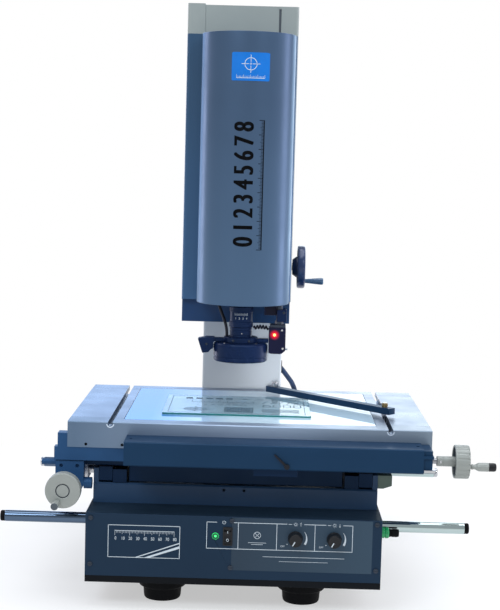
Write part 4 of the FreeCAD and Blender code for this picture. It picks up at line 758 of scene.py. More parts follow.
# generic pictograms in the gaps: mains, lamp from below, lamp from above
p.arc(-13, 122.0, 2.1, 120, 420, 0.5, 0.5, W)
p.rect(-13.25, -12.75, 122.0, 124.8, W)
for cx, up in ((83.4, 1), (135.9, -1)):
    p.arc(cx, 121.9, 1.5, 0, 360, 0.45, 0.45, W)
    for a in range(0, 360, 45):
        t = math.radians(a)
        p.line((cx + 2.3 * math.cos(t), 121.9 + 2.3 * math.sin(t)), (cx + 3.1 * math.cos(t), 121.9 + 3.1 * math.sin(t)), 0.35, W)
    p.line((cx + 7, 121.9 - up * 2.2), (cx + 7, 121.9 + up * 2.2), 0.5, W)
    p.flat([(cx + 5.9, 121.9 + up * 1.0), (cx + 8.1, 121.9 + up * 1.0), (cx + 7, 121.9 + up * 2.9)], [[0, 1, 2]], W)
    p.line((cx - 9.5, 121.9), (cx - 4.8, 121.9), 0.6, W)
# lamp symbol in the middle field
p.arc(32, 105.5, 4.6, 0, 360, 0.55, 0.55, W, 32)
p.line((28.75, 102.25), (35.25, 108.75), 0.5, W)
p.line((35.25, 102.25), (28.75, 108.75), 0.5, W)
p.rect(20, 44, 95.0, 95.5, W)
p.rect(24, 40, 92.6, 93.1, W)
# knob scales: swelling arc at the right, OFF and a dot at the lower left
for kx in (83.4, 135.7):
    p.arc(kx, 102.8, 15.2, -32, 38, 3.0, 0.25, W, 24)
    p.text("OFF", 3.4, (kx - 17.2, 91.4), W)
    p.arc(kx - 10.9, 94.4, 0.35, 0, 360, 0.7, 0.7, W, 12)
p.rect(40, 150, 76.2, 76.7, W)
p.rect(62, 128, 70.2, 70.6, W)
p.make("panel_print", "base", "panel_paint")

s = Shape()
s.lathe("Y", (-24.3, 103), [(3.5, -0.4), (3.7, -1.4), (4.3, -1.4), (4.6, -0.9), (4.6, 0.6), (3.5, 0.6)], M["led"], 40)
s.lathe("Y", (-24.3, 103), [(2.1, -0.4), (2.4, -1.3), (3.2, -1.3), (3.5, -0.6), (3.5, 0.5), (2.1, 0.5)], M["lens_dark"], 40)
s.lathe("Y", (-24.3, 103), [(0, -1.3), (1.4, -1.2), (2.1, -0.7), (2.1, 0.5), (0, 0.5)], M["led"], 32)
s.make("power_lamp_ring", "base", (), "screw_steel")

# rocker with I and O marks, in a raised bezel
s = Shape()
s.plate_with_hole("XZ", soften([(-14.2, 90.4), (-1.4, 90.4), (-1.4, 115.6), (-14.2, 115.6)], 1.0),
                  [soften([(-12.6, 92.3), (-3.0, 92.3), (-3.0, 113.7), (-12.6, 113.7)], 0.6)], -1.5, 0.1, M["black"])
s.make("rocker_bezel", "base", (), "black_plastic")
rot = math.radians(-7.0)


def tip(y, z):
    c, q = math.cos(rot), math.sin(rot)
    return (4 + (y - 4) * c - z * q, 103 + ((y - 4) * q + z * c))


s = Shape()
side = [tip(-2.2, -10.4), tip(-1.2, -5.2), tip(-0.6, 0), tip(-1.2, 5.2), tip(-2.2, 10.4), tip(6, 9.4), tip(12, 3), tip(12, -3),
        tip(6, -9.4)]
s.prism("YZ", side, -12.5, -3.1, M["black"], soft=0.8, edge=0.3)
s.make("rocker_key", "power_rocker", ["power_rocker"], "black_plastic", angle=50)


def on_rocker(u, v, lift):
    y, z = tip(-0.62 - abs(v) * 0.155 - lift, v)
    return (u - 7.8, y, z)


p = Print(on_rocker, 0.25, 0.25)
p.rect(-0.35, 0.35, 3.4, 6.6, M["white"])
p.arc(0, -5.4, 1.5, 0, 360, 0.55, 0.55, M["white"])
p.make("rocker_marks", "power_rocker", "black_plastic")

for body, kx in (("contour_knob", 83.4), ("surface_knob", 135.7)):
    s = Shape()
    prof = [(0, -14.6), (6.4, -14.6), (7.3, -15), (8.2, -14.9), (8.8, -14.0), (9.3, -9), (9.5, -3.2), (10, -2.7), (10, -0.5),
            (3.0, -0.45), (3.0, 23), (0, 23)]
    s.lathe("Y", (kx, 102.8), prof, M["black"], 120, 0.12,
            wave=lambda t, r, a: r * (1 + (0.022 * math.cos(30 * t) if 8.7 < r < 9.6 else 0)))
    d = (-0.5, -0.866)
    w = (0.866, -0.5)
    pts = [(kx + d[0] * a + w[0] * b, 102.8 + d[1] * a + w[1] * b) for a, b in ((1.5, -0.75), (1.5, 0.75), (8.0, 0.75), (8.0, -0.75))]
    s.prism("XZ", pts, -15.0, -14.2, M["white"], edge=0.1)
    s.make(body + "_detail", body, [body], "black_plastic", angle=30)

# ---------------------------------------------------------------- cables
route = [(48, 545, 264), (62, 545, 261), (70.2, 545, 251.7), (77, 545, 242.7), (87.3, 543, 229.9), (95, 538, 204),
         (100.5, 531, 178), (101, 524, 154), (99.5, 520, 138), (99, 520, 124)]


def nurbs(name, pts, r, mat, body, nodes):
    cu = bpy.data.curves.new(name, "CURVE")
    cu.dimensions = "3D"
    cu.bevel_depth = r / 1000.0
    cu.bevel_resolution = 5
    cu.resolution_u = 12
    cu.use_fill_caps = True
    sp = cu.splines.new("NURBS")
    sp.points.add(len(pts) - 1)
    for q, pt in zip(sp.points, pts):
        q.co = (*P(*pt), 1)
    sp.order_u = 3
    sp.use_endpoint_u = True
    cu.materials.append(mat)
    o = bpy.data.objects.new(name, cu)
    bpy.context.scene.collection.objects.link(o)
    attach(o, body)
    if nodes:
        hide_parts(*nodes)
    return o


nurbs("column_cable_run", route, 4.2, M["cord_blue"], "base", ["column_cable"])
nurbs("ring_light_lead", [(-42, 228, 470), (-41, 227, 430), (-36.4, 223, 401), (-30, 221, 385), (-25.4, 220, 374),
                          (-20.6, 211, 360), (-20.6, 211, 349.1)], 2.2, M["cord"], "head", ["head_cables"])
s = Shape()
coil = []
for i in range(141):
    u = i / 140
    x = 18.5 + (40.4 - 18.5) * u
    zc = 362.2 + 1.6 * math.sin(u * math.pi)
    t = 2 * math.pi * 5.0 * u
    coil.append((x, 214 + 2.2 * math.cos(t), zc + 2.2 * math.sin(t)))
s.sweep(coil, 1.2, M["cord"], 10)
s.make("laser_curled_lead", "head", (), "cord_jacket", angle=60)
s = Shape()
s.lathe("X", (545, 259), [(8.8, 64.6), (11.4, 64.6), (11.4, 66.2), (10.2, 67.4), (8.2, 67.4), (7.6, 66.4), (7.6, 58), (8.8, 58)],
        M["rubber"], 40, 0.2)
s.make("column_cable_grommet", "base", (), "cord_jacket")

# ---------------------------------------------------------------- Y handwheel and crank
s = Shape()
c = (-231.5, 158.5)
prof = [(3.85, 0.3), (7.9, 0.3), (8.3, 0.7), (8.5, 1.9), (9.5, 1.9), (9.7, 0.6), (10.3, 0.15), (21.4, 0.1), (23.0, 0.3), (23.9, 1.0),
        (24.2, 2.2), (24.2, 13.6), (23.4, 14.8), (21.4, 15), (20.4, 16.8), (10.4, 17.8), (10, 18.6), (10, 44.6), (9.2, 46), (3.85, 46)]
# painted shade in the groove ring on the wheel's face
s.lathe("Y", c, prof, M["wheel"], 144, 0.1,
        wave=lambda t, r, a: r * (1 - (0.012 * (0.5 + 0.5 * math.cos(60 * t)) if r > 24.1 and 3 < a < 13 else 0)),
        bands=[(lambda r, a: 8.2 < r < 9.75 and a < 2.2, M["hollow_shade"])])
s.lathe("Y", c, [(0, 0.25), (3.85, 0.25), (3.85, 1.2), (0, 1.2)], M["wheel"], 32)
s.screw("X", (30, 158.5), -221.7, 1, 1.9, M["steel"], 1.0)
s.make("y_wheel_detail", "y_wheel", ["y_handwheel"], "wheel_grey", angle=28)
ya = math.radians(205.0)
ykx, ykz = -231.5 + 17 * math.sin(ya), 158.5 + 17 * math.cos(ya)
s = Shape()
# painted shade in the shallow recess at the knob's end
s.lathe("Y", (ykx, ykz), [(0, -26.6), (3.0, -26.6), (4.2, -26.9), (4.9, -26.2), (5.1, -25), (5.1, -12.5), (4.8, -10.5), (4.3, -7.4),
                          (4.2, -6), (4.2, -1.2), (3.9, -0.6), (2.9, -0.5), (2.9, 15.9), (0, 15.9)], M["wheel"], 48, 0.3,
        bands=[(lambda r, a: a < -26.3, M["hollow_shade"])])
s.make("y_crank_detail", "y_crank", ["y_crank_knob"], "wheel_grey", angle=35)

# ---------------------------------------------------------------- X handwheel and crank
s = Shape()
c = (54, 203)
prof = [(3.85, 276), (6.4, 276), (7, 276.6), (7, 284), (6.7, 284.4), (7, 284.8), (7, 311.2), (8.2, 313.4), (12, 313.9),
        (19.6, 314), (20.2, 313.4), (20.2, 300.6), (20.6, 299.8), (22.0, 299.7), (22.9, 300.3), (23.2, 301.4), (23.2, 317.9),
        (22.8, 319.4), (21.6, 320), (17.4, 320), (16.9, 319.5), (8.6, 319.5), (8, 320), (5.4, 320), (5, 321.4), (3.85, 321.5)]
# painted shade inside the cup of the wheel
s.lathe("X", c, prof, M["wheel"], 180, 0.1,
        wave=lambda t, r, a: r * (1 - (0.055 * max(0.0, math.cos(18 * t)) ** 3 if r > 22.8 and a > 306 and a < 319.5 else 0)),
        bands=[(lambda r, a: r < 20.3 and 301 < a < 314.1 and r > 7.5, M["hollow_shade"])])
s.screw("Y", (281, 203), 54 - 6.9, -1, 1.7, M["steel"], 0.7)
s.make("x_wheel_detail", "x_wheel", ["x_handwheel"], "wheel_grey", angle=28)
xa = math.radians(-108.0)
xky, xkz = 54 + 13.2 * math.sin(xa), 203 + 13.2 * math.cos(xa)
s = Shape()
s.lathe("X", (xky, xkz), [(0, 304.7), (2.9, 304.7), (2.9, 321.9), (3.8, 322.3), (3.8, 323.9), (3.3, 324.5), (3.4, 327), (4.2, 328.6),
                          (5.4, 330.6), (6, 333.4), (6, 344.8), (5.6, 345.6), (0, 345.6)], M["wheel"], 48, 0.25)
s.lathe("X", (xky, xkz), [(0, 345.2), (5.5, 345.2), (5.9, 346.2), (5.9, 353.4), (5.2, 355.4), (4, 356), (0, 356)], M["black"], 40, 0.2)
s.make("x_crank_detail", "x_crank", ["x_crank_knob"], "wheel_grey", angle=35)

# ---------------------------------------------------------------- Z handwheel and crank
s = Shape()
c = (496, 434)
prof = [(6, 79), (12.0, 79), (12.8, 79.4), (17.5, 85.8), (17.5, 88), (18.4, 88.8), (28.4, 89), (29.6, 87.4), (31.4, 87), (33.4, 87),
        (34.7, 87.8), (35.4, 89.6), (35.5, 92), (35.5, 95.4), (35.2, 97.8), (34.4, 99.4), (33.0, 100), (30.8, 100), (29.8, 99.2), (29.2, 97.2), (13, 97),
        (12, 97.6), (11.6, 99), (6, 99)]
s.lathe("X", c, prof, M["black_wheel"], 144, 0.25)
s.lathe("X", c, [(0, 98.6), (6.4, 98.6), (6.4, 99.5), (5.6, 100), (0, 100)], M["steel"], 32, 0.15)
s.make("z_wheel_detail", "z_wheel", ["z_handwheel"], "black_steel", angle=28)
s = Shape()
s.lathe("X", (488, 411.5), [(0, 88.2), (2.9, 88.2), (2.9, 99.5), (3.7, 99.8), (3.7, 101), (3.4, 101.6), (4.0, 108), (4.7, 115),
                            (5.3, 122), (5.7, 127), (5.6, 129.4), (4.8, 130.8), (3.4, 131), (0, 131)], M["crank_blue"], 48, 0.3)
s.make("z_crank_detail", "z_crank", ["z_crank_knob"], "black_plastic", angle=35)

# ---------------------------------------------------------------- calibration plate, clamp
s = Shape()
s.prism("XY", [(-108, 119), (104, 119), (104, 279), (-108, 279)], 246.05, 249, M["plate"], edge=0.35)
o = s.make("calibration_plate_glass", "stage", ["calibration_plate"], "plate_glass")
p = Print(lambda u, v, lift: (u, v, 249.0 + lift), 0.07, -0.02)
K = M["pattern"]
for i in range(11):
    p.rect(-20 + 4 * i, -19 + 4 * i, 135, 175, K)
    p.rect(-20, 21, 135 + 4 * i, 137 + 4 * i, K)
for r in (4, 8, 12, 16):
    p.arc(-62, 155, r, 0, 360, 1.3, 1.3, K, 40)
p.rect(-84, -40, 154.2, 155.8, K)
p.rect(-62.6, -61.4, 133, 177, K)
for i in range(7):
    p.arc(-60 + 11 * i, 196, 1.2 + 0.5 * i, 0, 360, 1.1, 1.1, K, 20)
for i in range(36):
    p.rect(-70 + 2.6 * i, -69.1 + 2.6 * i, 214, 228 if i % 5 == 0 else 221, K)
for i in range(5):
    p.rect(-80 + 15 * i, -70 + 15 * i, 244, 256, K)
for i in range(4):
    p.frame(36 + 15 * i, 46 + 15 * i, 186, 200 + 2 * i, 1.6, K)
for i in range(5):
    p.line((34 + 12 * i, 214), (42 + 12 * i, 236), 1.4, K)
for i in range(6):
    p.rect(34, 88, 140 + 5 * i, 142 + 5 * i, K)
for i in range(4):
    p.rect(4 + 22 * i, 16 + 22 * i, 248, 252, K)
p.frame(-100, 96, 127, 271, 0.9, K)
p.make("calibration_plate_pattern", "stage", "plate_glass")
# ground green edge faces that catch the light along the plate's rim
s = Shape()
for x0, x1, y0, y1 in ((-108, 104, 119.0, 119.6), (-108, -107.5, 119.6, 278.5), (103.5, 104, 119.6, 278.5)):
    s.box(x0 + 0.4, x1 - 0.4 if x1 - x0 > 2 else x1, y0, y1, 246.3, 248.7, M["plate_edge"], 0)
s.make("calibration_plate_rim", "stage", (), "plate_glass")

pvx, pvy, tx, ty = 211.0, 156.0, 54.0, 320.0
bl = math.hypot(tx - pvx, ty - pvy)
ux, uy = (tx - pvx) / bl, (ty - pvy) / bl
ob = lambda a, w: (pvx + ux * a - uy * w, pvy + uy * a + ux * w)
s = Shape()
ring1 = [(pvx + 3.05 * math.cos(t * math.pi / 12), pvy + 3.05 * math.sin(t * math.pi / 12)) for t in range(24)]
ring2 = [(tx + 2.5 * math.cos(t * math.pi / 10), ty + 2.5 * math.sin(t * math.pi / 10)) for t in range(20)]
slot_pts = soften([ob(30, -2.2), ob(30, 2.2), ob(150, 2.2), ob(150, -2.2)], 2.0)
s.plate_with_hole("XY", soften([ob(-14, -7), ob(-14, 7), ob(bl + 14, 7), ob(bl + 14, -7)], 1.2), [ring1, ring2], 250, 259,
                  M["scale"])
s.make("clamp_bar_detail", "clamp_arm", ["clamp_bar"], "scale_anodised")
b = bpy.data.objects["clamp_bar_detail"].modifiers.new("edges", "BEVEL")
b.width, b.segments, b.limit_method, b.angle_limit, b.harden_normals = 0.0006, 2, "ANGLE", math.radians(60), True
s = Shape()
s.lathe("Z", (pvx, pvy), [(3.08, 259.05), (4.3, 259.05), (4.3, 259.7), (4.0, 260.1), (4.3, 260.5), (4.3, 264.0), (3.9, 264.9), (3.5, 265),
                          (3.3, 265), (3.08, 264.8)], M["brass"], 96, 0.1,
        wave=lambda t, r, a: r * (1 + (0.03 * math.cos(28 * t) if r > 4.1 and a > 260.3 else 0)))
s.sweep([(pvx - 3.4, pvy - 0.4, 262.0), (pvx - 6.2, pvy - 0.8, 264.6), (pvx - 10.0, pvy - 1.2, 269.6), (pvx - 13.0, pvy - 1.6, 274.0), (pvx - 14.5, pvy - 1.8, 276.4)],
        [1.0, 1.1, 1.25, 1.5, 1.2], M["steel"], 12)
s.lathe("Z", (tx, ty), [(0, 249.7), (1.8, 249.7), (2.45, 250.4), (2.45, 259), (4.7, 259.05), (4.7, 264.8), (4.2, 266), (2.0, 266),
                        (1.8, 265.2), (0, 265.2)], M["steel"], 96, 0.1,
        wave=lambda t, r, a: r * (1 + (0.035 * math.cos(24 * t) if r > 4.5 else 0)))
s.make("clamp_screws_detail", "clamp_arm", ["clamp_screws"], "screw_steel", angle=30)

# ---------------------------------------------------------------- X scale unit details
s = Shape()
s.box(252.1, 265.4, -4.15, 20.2, 216.65, 220.75, M["scale"], 0.5)
s.box(252.1, 268.2, -4.15, 20.2, 197.35, 201.95, M["steel"], 0.5)
s.make("x_scale_tabs", "stage", (), "screw_steel")
s = Shape()
for sx, sz in ((-206.5, 214.4), (-156.8, 214.6)):
    s.lathe("Y", (sx, sz), [(1.1, 47.4), (1.95, 46.4), (1.95, 49.6), (0.9, 49.6)], M["lens_dark"], 20)
s.make("stage_front_screws", "stage", (), "screw_steel")
# painted highlight: bright crescents at the lower rims of the two T-slot openings
p = Print(lambda u, v, lift: (u, 46.0 - lift, v), 0.15, 0.1)
for sx in (-173.5, 211.0):
    p.arc(sx, 243.4, 4.7, 184, 356, 1.5, 1.5, M["notch"], 24)
p.make("slot_rim_highlights", "stage", "stage_metal")

# ---------------------------------------------------------------- head: front cover
R, CX, CY, Z0, Z1, WALL = 68.7, 1.0, 241.0, 397.0, 791.0, 2.5
s = Shape()
NA = 72


def cover_line(r, y_end, inset=0.0):
    pts = [(CX - r, y_end)]
    for i in range(4):
        pts.append((CX - r, y_end + (CY - y_end) * (i + 1) / 5))
    for i in range(NA + 1):
        t = math.pi + math.pi * i / NA
        pts.append((CX + r * math.cos(t), CY + r * math.sin(t)))
    for i in range(4):
        pts.append((CX + r, CY + (y_end - CY) * (i + 1) / 5))
    pts.append((CX + r, y_end))
    return pts


k = s.slot(M["cover"])
outer, inner = [], []
levels = [(Z0, -0.7), (Z0 + 0.25, -0.25), (Z0 + 0.9, 0)] + [(Z0 + (Z1 - Z0) * i / 24, 0) for i in range(1, 24)] + \
         [(Z1 - 1.0, 0), (Z1 - 0.3, -0.3), (Z1, -1.0)]
for z, d in levels:
    outer.append(s.verts([(x, y, z) for x, y in cover_line(R + d, 289.6)]))
for z in (Z0, Z0 + 0.3, Z1 - WALL):
    d = 0.5 if z == Z0 else 0
    inner.append(s.verts([(x, y, z) for x, y in cover_line(R - WALL + d * 0, 289.6)]))
n = len(outer[0])
for a, b2 in zip(outer, outer[1:]):
    for i in range(n - 1):
        s.face([a[i], a[i + 1], b2[i + 1], b2[i]], k)
for a, b2 in zip(inner, inner[1:]):
    for i in range(n - 1):
        s.face([a[i], a[i + 1], b2[i + 1], b2[i]], k)
for i in range(n - 1):
    s.face([outer[0][i], outer[0][i + 1], inner[0][i + 1], inner[0][i]], k)
s.face(outer[-1], k)
s.face(list(reversed(inner[-1])), k)
for e in (0, -1):
    col = [row[e] for row in outer]
    icol = [row[e] for row in inner]
    s.face([*col, *reversed(icol)], k)
s.face([outer[-1][0], outer[-1][-1], inner[-1][-1], inner[-1][0]], k)
s.make("head_cover_shell", "head", ["head_front_cover"], "cover_paint", angle=40)
# four side screws that hold the cover
s = Shape()
for sg in (-1, 1):
    for z in (440, 750):
        s.screw("X", (274, z), CX + sg * (R - 0.3), sg, 3.0, M["steel"], 1.0)
s.make("head_cover_screws", "head", (), "screw_steel")


def on_cover(u, v, lift):
    """u is the sideways distance as seen from the front, v the height."""
    x = max(-0.98, min(0.98, (u - CX) / R))
    t = math.asin(x)
    rr = R + lift
    return (CX + rr * math.sin(t), CY - rr * math.cos(t), v)


def badge_outline(x0, x1, z0, z1, c, n=18):
    vs, fs = [], []
    for i in range(n + 1):
        x = x0 + (x1 - x0) * i / n
        d = min(i, n - i) * (x1 - x0) / n
        cut = 0.0 if d >= c else c - math.sqrt(max(0.0, c * c - (c - d) ** 2))
        vs += [(x, z0 + cut), (x, z1 - cut)]
    for i in range(n):
        fs.append([2 * i, 2 * i + 2, 2 * i + 3, 2 * i + 1])
    return vs, fs


p = Print(on_cover, 0.45, 0.2)
p.flat(*badge_outline(-22.3, 31.6, 720.6, 760.8, 1.2, 27), M["blue"])
p.make("cover_badge_plate", "head", "cover_paint")
p = Print(on_cover, 0.62, 0.0)
# generic reticle: circle, cross and corner ticks
p.arc(4.8, 744.5, 8.6, 0, 360, 0.9, 0.9, W, 40)
p.rect(-8.5, 2.2, 744.1, 744.9, W, 6)
p.rect(7.4, 18.1, 744.1, 744.9, W, 6)
p.rect(4.4, 5.2, 747.2, 757.4, W)
p.rect(4.4, 5.2, 731.8, 741.8, W)
p.arc(4.8, 744.5, 1.0, 0, 360, 0.6, 0.6, W, 16)
for i in range(21):
    h = 4.2 if i % 5 == 0 else 2.4
    x = -15.2 + 2.0 * i
    p.rect(x - 0.22, x + 0.22, 725.0, 725.0 + h, W)
p.rect(-15.4, 25.0, 724.2, 724.9, W, 12)
p.make("cover_badge_print", "head", "cover_paint")
# graduated height scale with plain numerals, read from below upwards
p = Print(on_cover, 0.22, 0.05)
for i in range(91):
    z = 479.6 + 2.06 * i
    ln = 6.4 if i % 10 == 0 else (4.6 if i % 5 == 0 else 3.0)
    w = 0.9 if i % 10 == 0 else 0.6
    p.rect(25.4 - ln, 25.4, z - w / 2, z + w / 2, M["ink"], 2)
p.rect(25.4, 26.8, 479.2, 665.4, M["ink"])
for i in range(9):
    z = 491.0 + 20.6 * i
    for dv in (-1.2, -0.4, 0.4, 1.2):
        p.text(str(i), 40.0, (1.0 - 0.25 * i, z + dv), M["ink"], math.pi / 2, 0.0, 0.68, 1.5)
p.make("cover_height_scale", "head", "cover_paint")

# ---------------------------------------------------------------- lens, zoom ring, ring light
s = Shape()
A = (0, 211)
prof = [(10.2, 328.6), (11.4, 326.2), (12.6, 326), (13, 326.6), (13, 330), (15.6, 331.6), (16.2, 332.6), (16.2, 350.6), (15.9, 351),
        (15.9, 352), (16.2, 352.4), (16.2, 358), (15.8, 358.4), (15.8, 359.6), (16.2, 360), (16.2, 363.5), (14, 363.55),
        (14, 394.5), (17.5, 394.6), (17.5, 398), (17.0, 398.5), (17.0, 404), (17.5, 404.5), (17.5, 440), (17.5, 500), (17.5, 579),
        (15.5, 582), (15.5, 586), (10.2, 586)]
s.lathe("Z", A, prof, M["lens"], 96, 0.15)
s.lathe("Z", A, [(0, 328.0), (5, 327.6), (10.2, 329.2), (10.2, 332), (0, 332)], M["optic"], 64)
for t in (-2.0, -0.55):
    s.screw("Y" if t < 0 else "Y", (16.2 * math.sin(t) * 0 + (-8.5 if t < -1 else 7.5), 401.5), 211 - math.sqrt(17.0 ** 2 - 8 ** 2) + 0.2, -1,
            1.5, M["steel"], 0.7)
s.lathe("Y", (1.6, 355.2), [(0, 194.3), (0.7, 194.4), (1.1, 194.9), (1.1, 196), (0, 196)], M["steel"], 20)
s.make("zoom_lens_detail", "head", ["zoom_lens"], "lens_black", angle=30)

s = Shape()
prof = [(14.06, 364), (16.9, 364), (17.3, 364.3), (17.3, 371.4), (16.7, 372.2), (16.7, 386), (17.3, 386.6), (17.3, 393.6),
        (16.9, 394), (14.06, 394)]
s.lathe("Z", A, prof, M["lens"], 144, 0.12,
        wave=lambda t, r, a: r * (1 + (0.011 * math.cos(48 * t) if (r > 17.1 and (a < 371.6 or a > 386.4)) else 0)))
s.make("zoom_ring_detail", "zoom_ring", ["zoom_ring"], "lens_black", angle=30)


def on_ring(u, v, lift):
    t = u / 16.7
    return ((16.7 + lift) * math.sin(t), 211 - (16.7 + lift) * math.cos(t), v)


p = Print(on_ring, 0.12, 0.05)
for i in range(13):
    u = -9.6 + 1.6 * i
    p.rect(u - 0.18, u + 0.18, 381.5, 384.6 if i % 3 else 385.4, W)
for i, m_ in enumerate(("1", "2", "3", "4")):
    p.text(m_, 4.2, (-8.0 + 5.4 * i, 377.4), W, 0.0, 0.0, 1.0, 0.7)
p.make("zoom_ring_scale", "zoom_ring", "lens_black")

s = Shape()
prof = [(22, 315.4), (22.4, 314.4), (24, 314), (24.2, 319.6), (33.8, 319.6), (34, 314), (37.8, 314), (39.2, 314.8), (39.8, 316.2),
        (39.8, 319.6), (39.35, 320.0), (39.35, 321.0), (39.8, 321.4), (39.8, 336.6), (39.3, 338.8), (37.6, 340.4), (36.4, 341),
        (30, 341), (29.6, 340.5), (28.4, 340.5), (28, 341), (16.4, 341), (16.4, 337.2), (22, 335)]
s.lathe("Z", A, prof, M["lens"], 128, 0.2)
for i in range(24):
    t = 2 * math.pi * i / 24
    s.lathe("Z", (29 * math.cos(t), 211 + 29 * math.sin(t)), [(0, 316.2), (1.2, 316.5), (1.9, 317.6), (2.1, 319.9), (0, 319.9)],
            M["led_dot"], 16)
for i in range(4):
    t = math.pi / 4 + i * math.pi / 2
    s.screw("Z", (33 * math.cos(t), 211 + 33 * math.sin(t)), 340.8, 1, 1.5, M["steel"], 0.7)
s.make("ring_light_detail", "head", ["ring_light"], "lens_black", angle=28)

# ---------------------------------------------------------------- cross arm, laser block
s = Shape()
s.lathe("Z", A, [(16.3, 341.25), (24.6, 341.25), (25, 341.7), (25, 348.4), (24.4, 349), (17, 349), (16.3, 348.4)], M["lens"], 72)
for x0, x1 in ((-58, -23), (23, 40.8)):
    s.box(x0, x1, 205, 217, 341.3, 346.9, M["lens"], 0.5)
s.prism("XZ", [(-62.8, 345.5), (-56, 324.8), (-47, 326), (-43, 331), (-40.4, 331), (-40.4, 341.4), (-38.6, 341.4), (-38.6, 348), (-50, 348)],
        200, 220, M["lens"], soft=0.6, edge=0.35)
for x, z in ((-10.6, 345.2), (12.5, 345.0)):
    s.screw("Y", (x, z), 211 - math.sqrt(25 ** 2 - x * x) + 0.5, -1, 2.0, M["screw_dark"], 1.6)
s.screw("Y", (-50, 338), 200.2, -1, 1.8, M["screw_dark"], 0.8)
s.make("light_arm_detail", "head", ["light_arm"], "lens_black")

s = Shape()
s.prism("XZ", [(41.2, 327.5), (45, 326), (60, 326), (66, 331), (66, 364.5), (41.2, 364.5)], 200, 222, M["laser_body"], soft=0.8, edge=0.5)
s.prism("XZ", [(42.4, 364.6), (65.6, 364.6), (65.6, 368.9), (42.4, 368.9)], 201, 221, M["screw_dark"], soft=0.6, edge=0.5)
s.lathe("Y", (49.6, 354), [(3.4, 199.7), (4.4, 199.6), (4.8, 200.4), (3.4, 202)], M["laser_body"], 40)
s.lathe("Y", (49.6, 354), [(0, 199.6), (2.6, 199.9), (3.3, 200.8), (3.3, 202), (0, 202)], M["red"], 36)
s.lathe("Y", (49.6, 354), [(0, 198.8), (1.2, 199.0), (2.0, 199.7), (0, 200.2)], M["red_core"], 24)
s.lathe("Z", (56, 211), [(0, 368.8), (4.2, 368.8), (4.2, 396.6), (0, 396.6)], M["screw_dark"], 40)
s.lathe("Z", (56, 211), [(0, 369), (6.4, 369), (6.4, 373.5), (5.8, 374), (0, 374)], M["screw_dark"], 6)
s.screw("X", (208, 333), 65.8, 1, 1.9, M["steel"], 3.4)
s.screw("Y", (60.5, 361), 200.1, -1, 1.7, M["steel"], 0.6)
s.screw("Y", (62, 334), 200.1, -1, 1.9, M["steel"], 0.7)
s.make("laser_pointer_detail", "head", ["laser_pointer"], "laser_black")

# hanger under the cover for the laser rod
s = Shape()
s.box(34, 52, 218, 240, 381, 398.5, M["laser_body"], 0.8)
s.box(52.2, 66.5, 205, 228, 372.5, 391, M["lens"], 0.8)
s.screw("Y", (62.5, 386.5), 205.1, -1, 2.0, M["screw_dark"], 1.2)
s.make("laser_hanger", "head", (), "laser_black")

# ---------------------------------------------------------------- floor, lights, camera
me = bpy.data.meshes.new("floor")
me.from_pydata([(-14, -14, 0), (14, -14, 0), (14, 30, 0), (-14, 30, 0)], [], [(0, 1, 2, 3)])
floor = bpy.data.objects.new("floor", me)
bpy.context.scene.collection.objects.link(floor)
m, nt, bs = new_mat("m_floor")
tc = node(nt, "ShaderNodeTexCoord")
ln = node(nt, "ShaderNodeVectorMath", operation="LENGTH")
nt.links.new(tc.outputs["Object"], ln.inputs[0])
mr = node(nt, "ShaderNodeMapRange", interpolation_type="SMOOTHSTEP")
mr.inputs["From Min"].default_value = 0.30
mr.inputs["From Max"].default_value = 0.95
mr.inputs["To Min"].default_value = 0.5
nt.links.new(ln.outputs["Value"], mr.inputs["Value"])
cl = noise_of(nt, 3.0, 3.0)
rc = ramp(nt, cl.outputs["Fac"], 0.3, 0.7, (0.86, 0.87, 0.88), (0.90, 0.91, 0.92))
nt.links.new(rc.outputs["Color"], bs.inputs["Base Color"])
bs.inputs["Roughness"].default_value = 0.8
em = node(nt, "ShaderNodeEmission")
em.inputs["Color"].default_value = (1, 1, 1, 1)
em.inputs["Strength"].default_value = 1.0
mx = node(nt, "ShaderNodeMixShader")
nt.links.new(mr.outputs["Result"], mx.inputs["Fac"])
nt.links.new(bs.outputs["BSDF"], mx.inputs[1])
nt.links.new(em.outputs["Emission"], mx.inputs[2])
nt.links.new(mx.outputs["Shader"], nt.nodes["Material Output"].inputs["Surface"])
me.materials.append(m)

world = bpy.data.worlds.new("studio")
bpy.context.scene.world = world
world.use_nodes = True
nt = world.node_tree
bg = nt.nodes["Background"]
bg.inputs["Color"].default_value = (0.93, 0.96, 1.0, 1)
bg.inputs["Strength"].default_value = 0.55
bg2 = node(nt, "ShaderNodeBackground")
bg2.inputs["Color"].default_value = (1, 1, 1, 1)
bg2.inputs["Strength"].default_value = 1.0
lp = node(nt, "ShaderNodeLightPath")
mix = node(nt, "ShaderNodeMixShader")
nt.links.new(lp.outputs["Is Camera Ray"], mix.inputs["Fac"])
nt.links.new(bg.outputs["Background"], mix.inputs[1])
nt.links.new(bg2.outputs["Background"], mix.inputs[2])
nt.links.new(mix.outputs["Shader"], nt.nodes["World Output"].inputs["Surface"])


def softbox(name, loc, target, w, h, power, color=(1, 1, 1)):
    li = bpy.data.lights.new(name, "AREA")
    li.shape = "RECTANGLE"
    li.size, li.size_y = w, h
    li.energy = power
    li.color = color
    o = bpy.data.objects.new(name, li)
    bpy.context.scene.collection.objects.link(o)
    o.location = loc
    d = Vector(target) - Vector(loc)
    o.rotation_euler = d.to_track_quat("-Z", "Y").to_euler()
    o.visible_camera = False
    return o


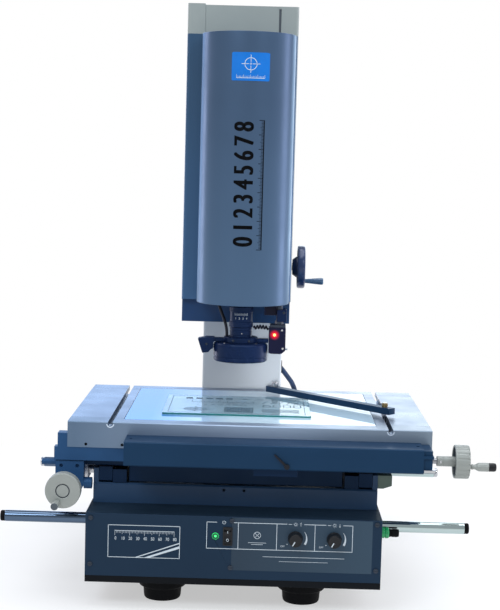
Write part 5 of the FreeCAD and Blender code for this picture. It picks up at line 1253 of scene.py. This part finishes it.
softbox("top", (0.1, -0.1, 2.6), (0, 0, 0.2), 2.2, 1.8, 34, (0.95, 0.97, 1.0))
softbox("key_left", (-1.3, -2.3, 2.3), (0, 0, 0.4), 1.3, 1.1, 31, (0.87, 0.94, 1.0))
softbox("strip_left", (-1.4, 1.0, 0.75), (0, -0.1, 0.55), 0.36, 1.9, 9, (1.0, 0.86, 0.96))
softbox("strip_right", (1.55, 0.42, 0.75), (0, -0.05, 0.55), 0.5, 1.9, 10, (1.0, 0.88, 0.98))
softbox("side_right", (1.8, -0.15, 0.7), (0, -0.1, 0.6), 0.9, 1.6, 14, (0.84, 0.92, 1.0)).visible_glossy = False
softbox("fill_right", (1.5, -2.3, 2.1), (0, 0, 0.35), 1.0, 1.0, 14, (0.92, 0.97, 1.0))
softbox("back_left", (-1.15, 2.6, 0.95), (-1.15, 0, 0.95), 2.0, 1.5, 13, (0.36, 0.60, 1.0))
softbox("back_right", (1.1, 2.6, 0.95), (1.1, 0, 0.95), 2.3, 1.5, 20, (0.80, 0.91, 1.0))
li = bpy.data.lights.new("column_fill", "SPOT")
li.energy, li.spot_size, li.spot_blend, li.shadow_soft_size = 135, math.radians(4.6), 0.9, 0.05
li.color = (0.92, 0.96, 1.0)
o = bpy.data.objects.new("column_fill", li)
bpy.context.scene.collection.objects.link(o)
o.visible_glossy = False
o.location = (0.02, -2.15, 0.56)
o.rotation_euler = (Vector((0.054, 0.17, 0.258)) - Vector(o.location)).to_track_quat("-Z", "Y").to_euler()

cam_data = bpy.data.cameras.new("camera")
cam = bpy.data.objects.new("camera", cam_data)
bpy.context.scene.collection.objects.link(cam)
cam_data.sensor_fit = "AUTO"
cam_data.sensor_width = 36.0
cam_data.lens = 1452.159 * 36.0 / 610.0
cam_data.clip_start, cam_data.clip_end = 0.05, 100
yaw, pitch, roll = -0.007, -0.098, 0.027
F = Vector((math.sin(yaw) * math.cos(pitch), math.cos(yaw) * math.cos(pitch), math.sin(pitch)))
r = Vector((math.cos(yaw), -math.sin(yaw), 0))
u = r.cross(F)
right = math.cos(roll) * r + math.sin(roll) * u
upv = -math.sin(roll) * r + math.cos(roll) * u
mat = Matrix((right, upv, -F)).transposed().to_4x4()
mat.translation = Vector((0.011278, -2.210214, 0.605276))
cam.matrix_world = mat
bpy.context.scene.camera = cam
bpy.context.scene.view_settings.view_transform = "Standard"
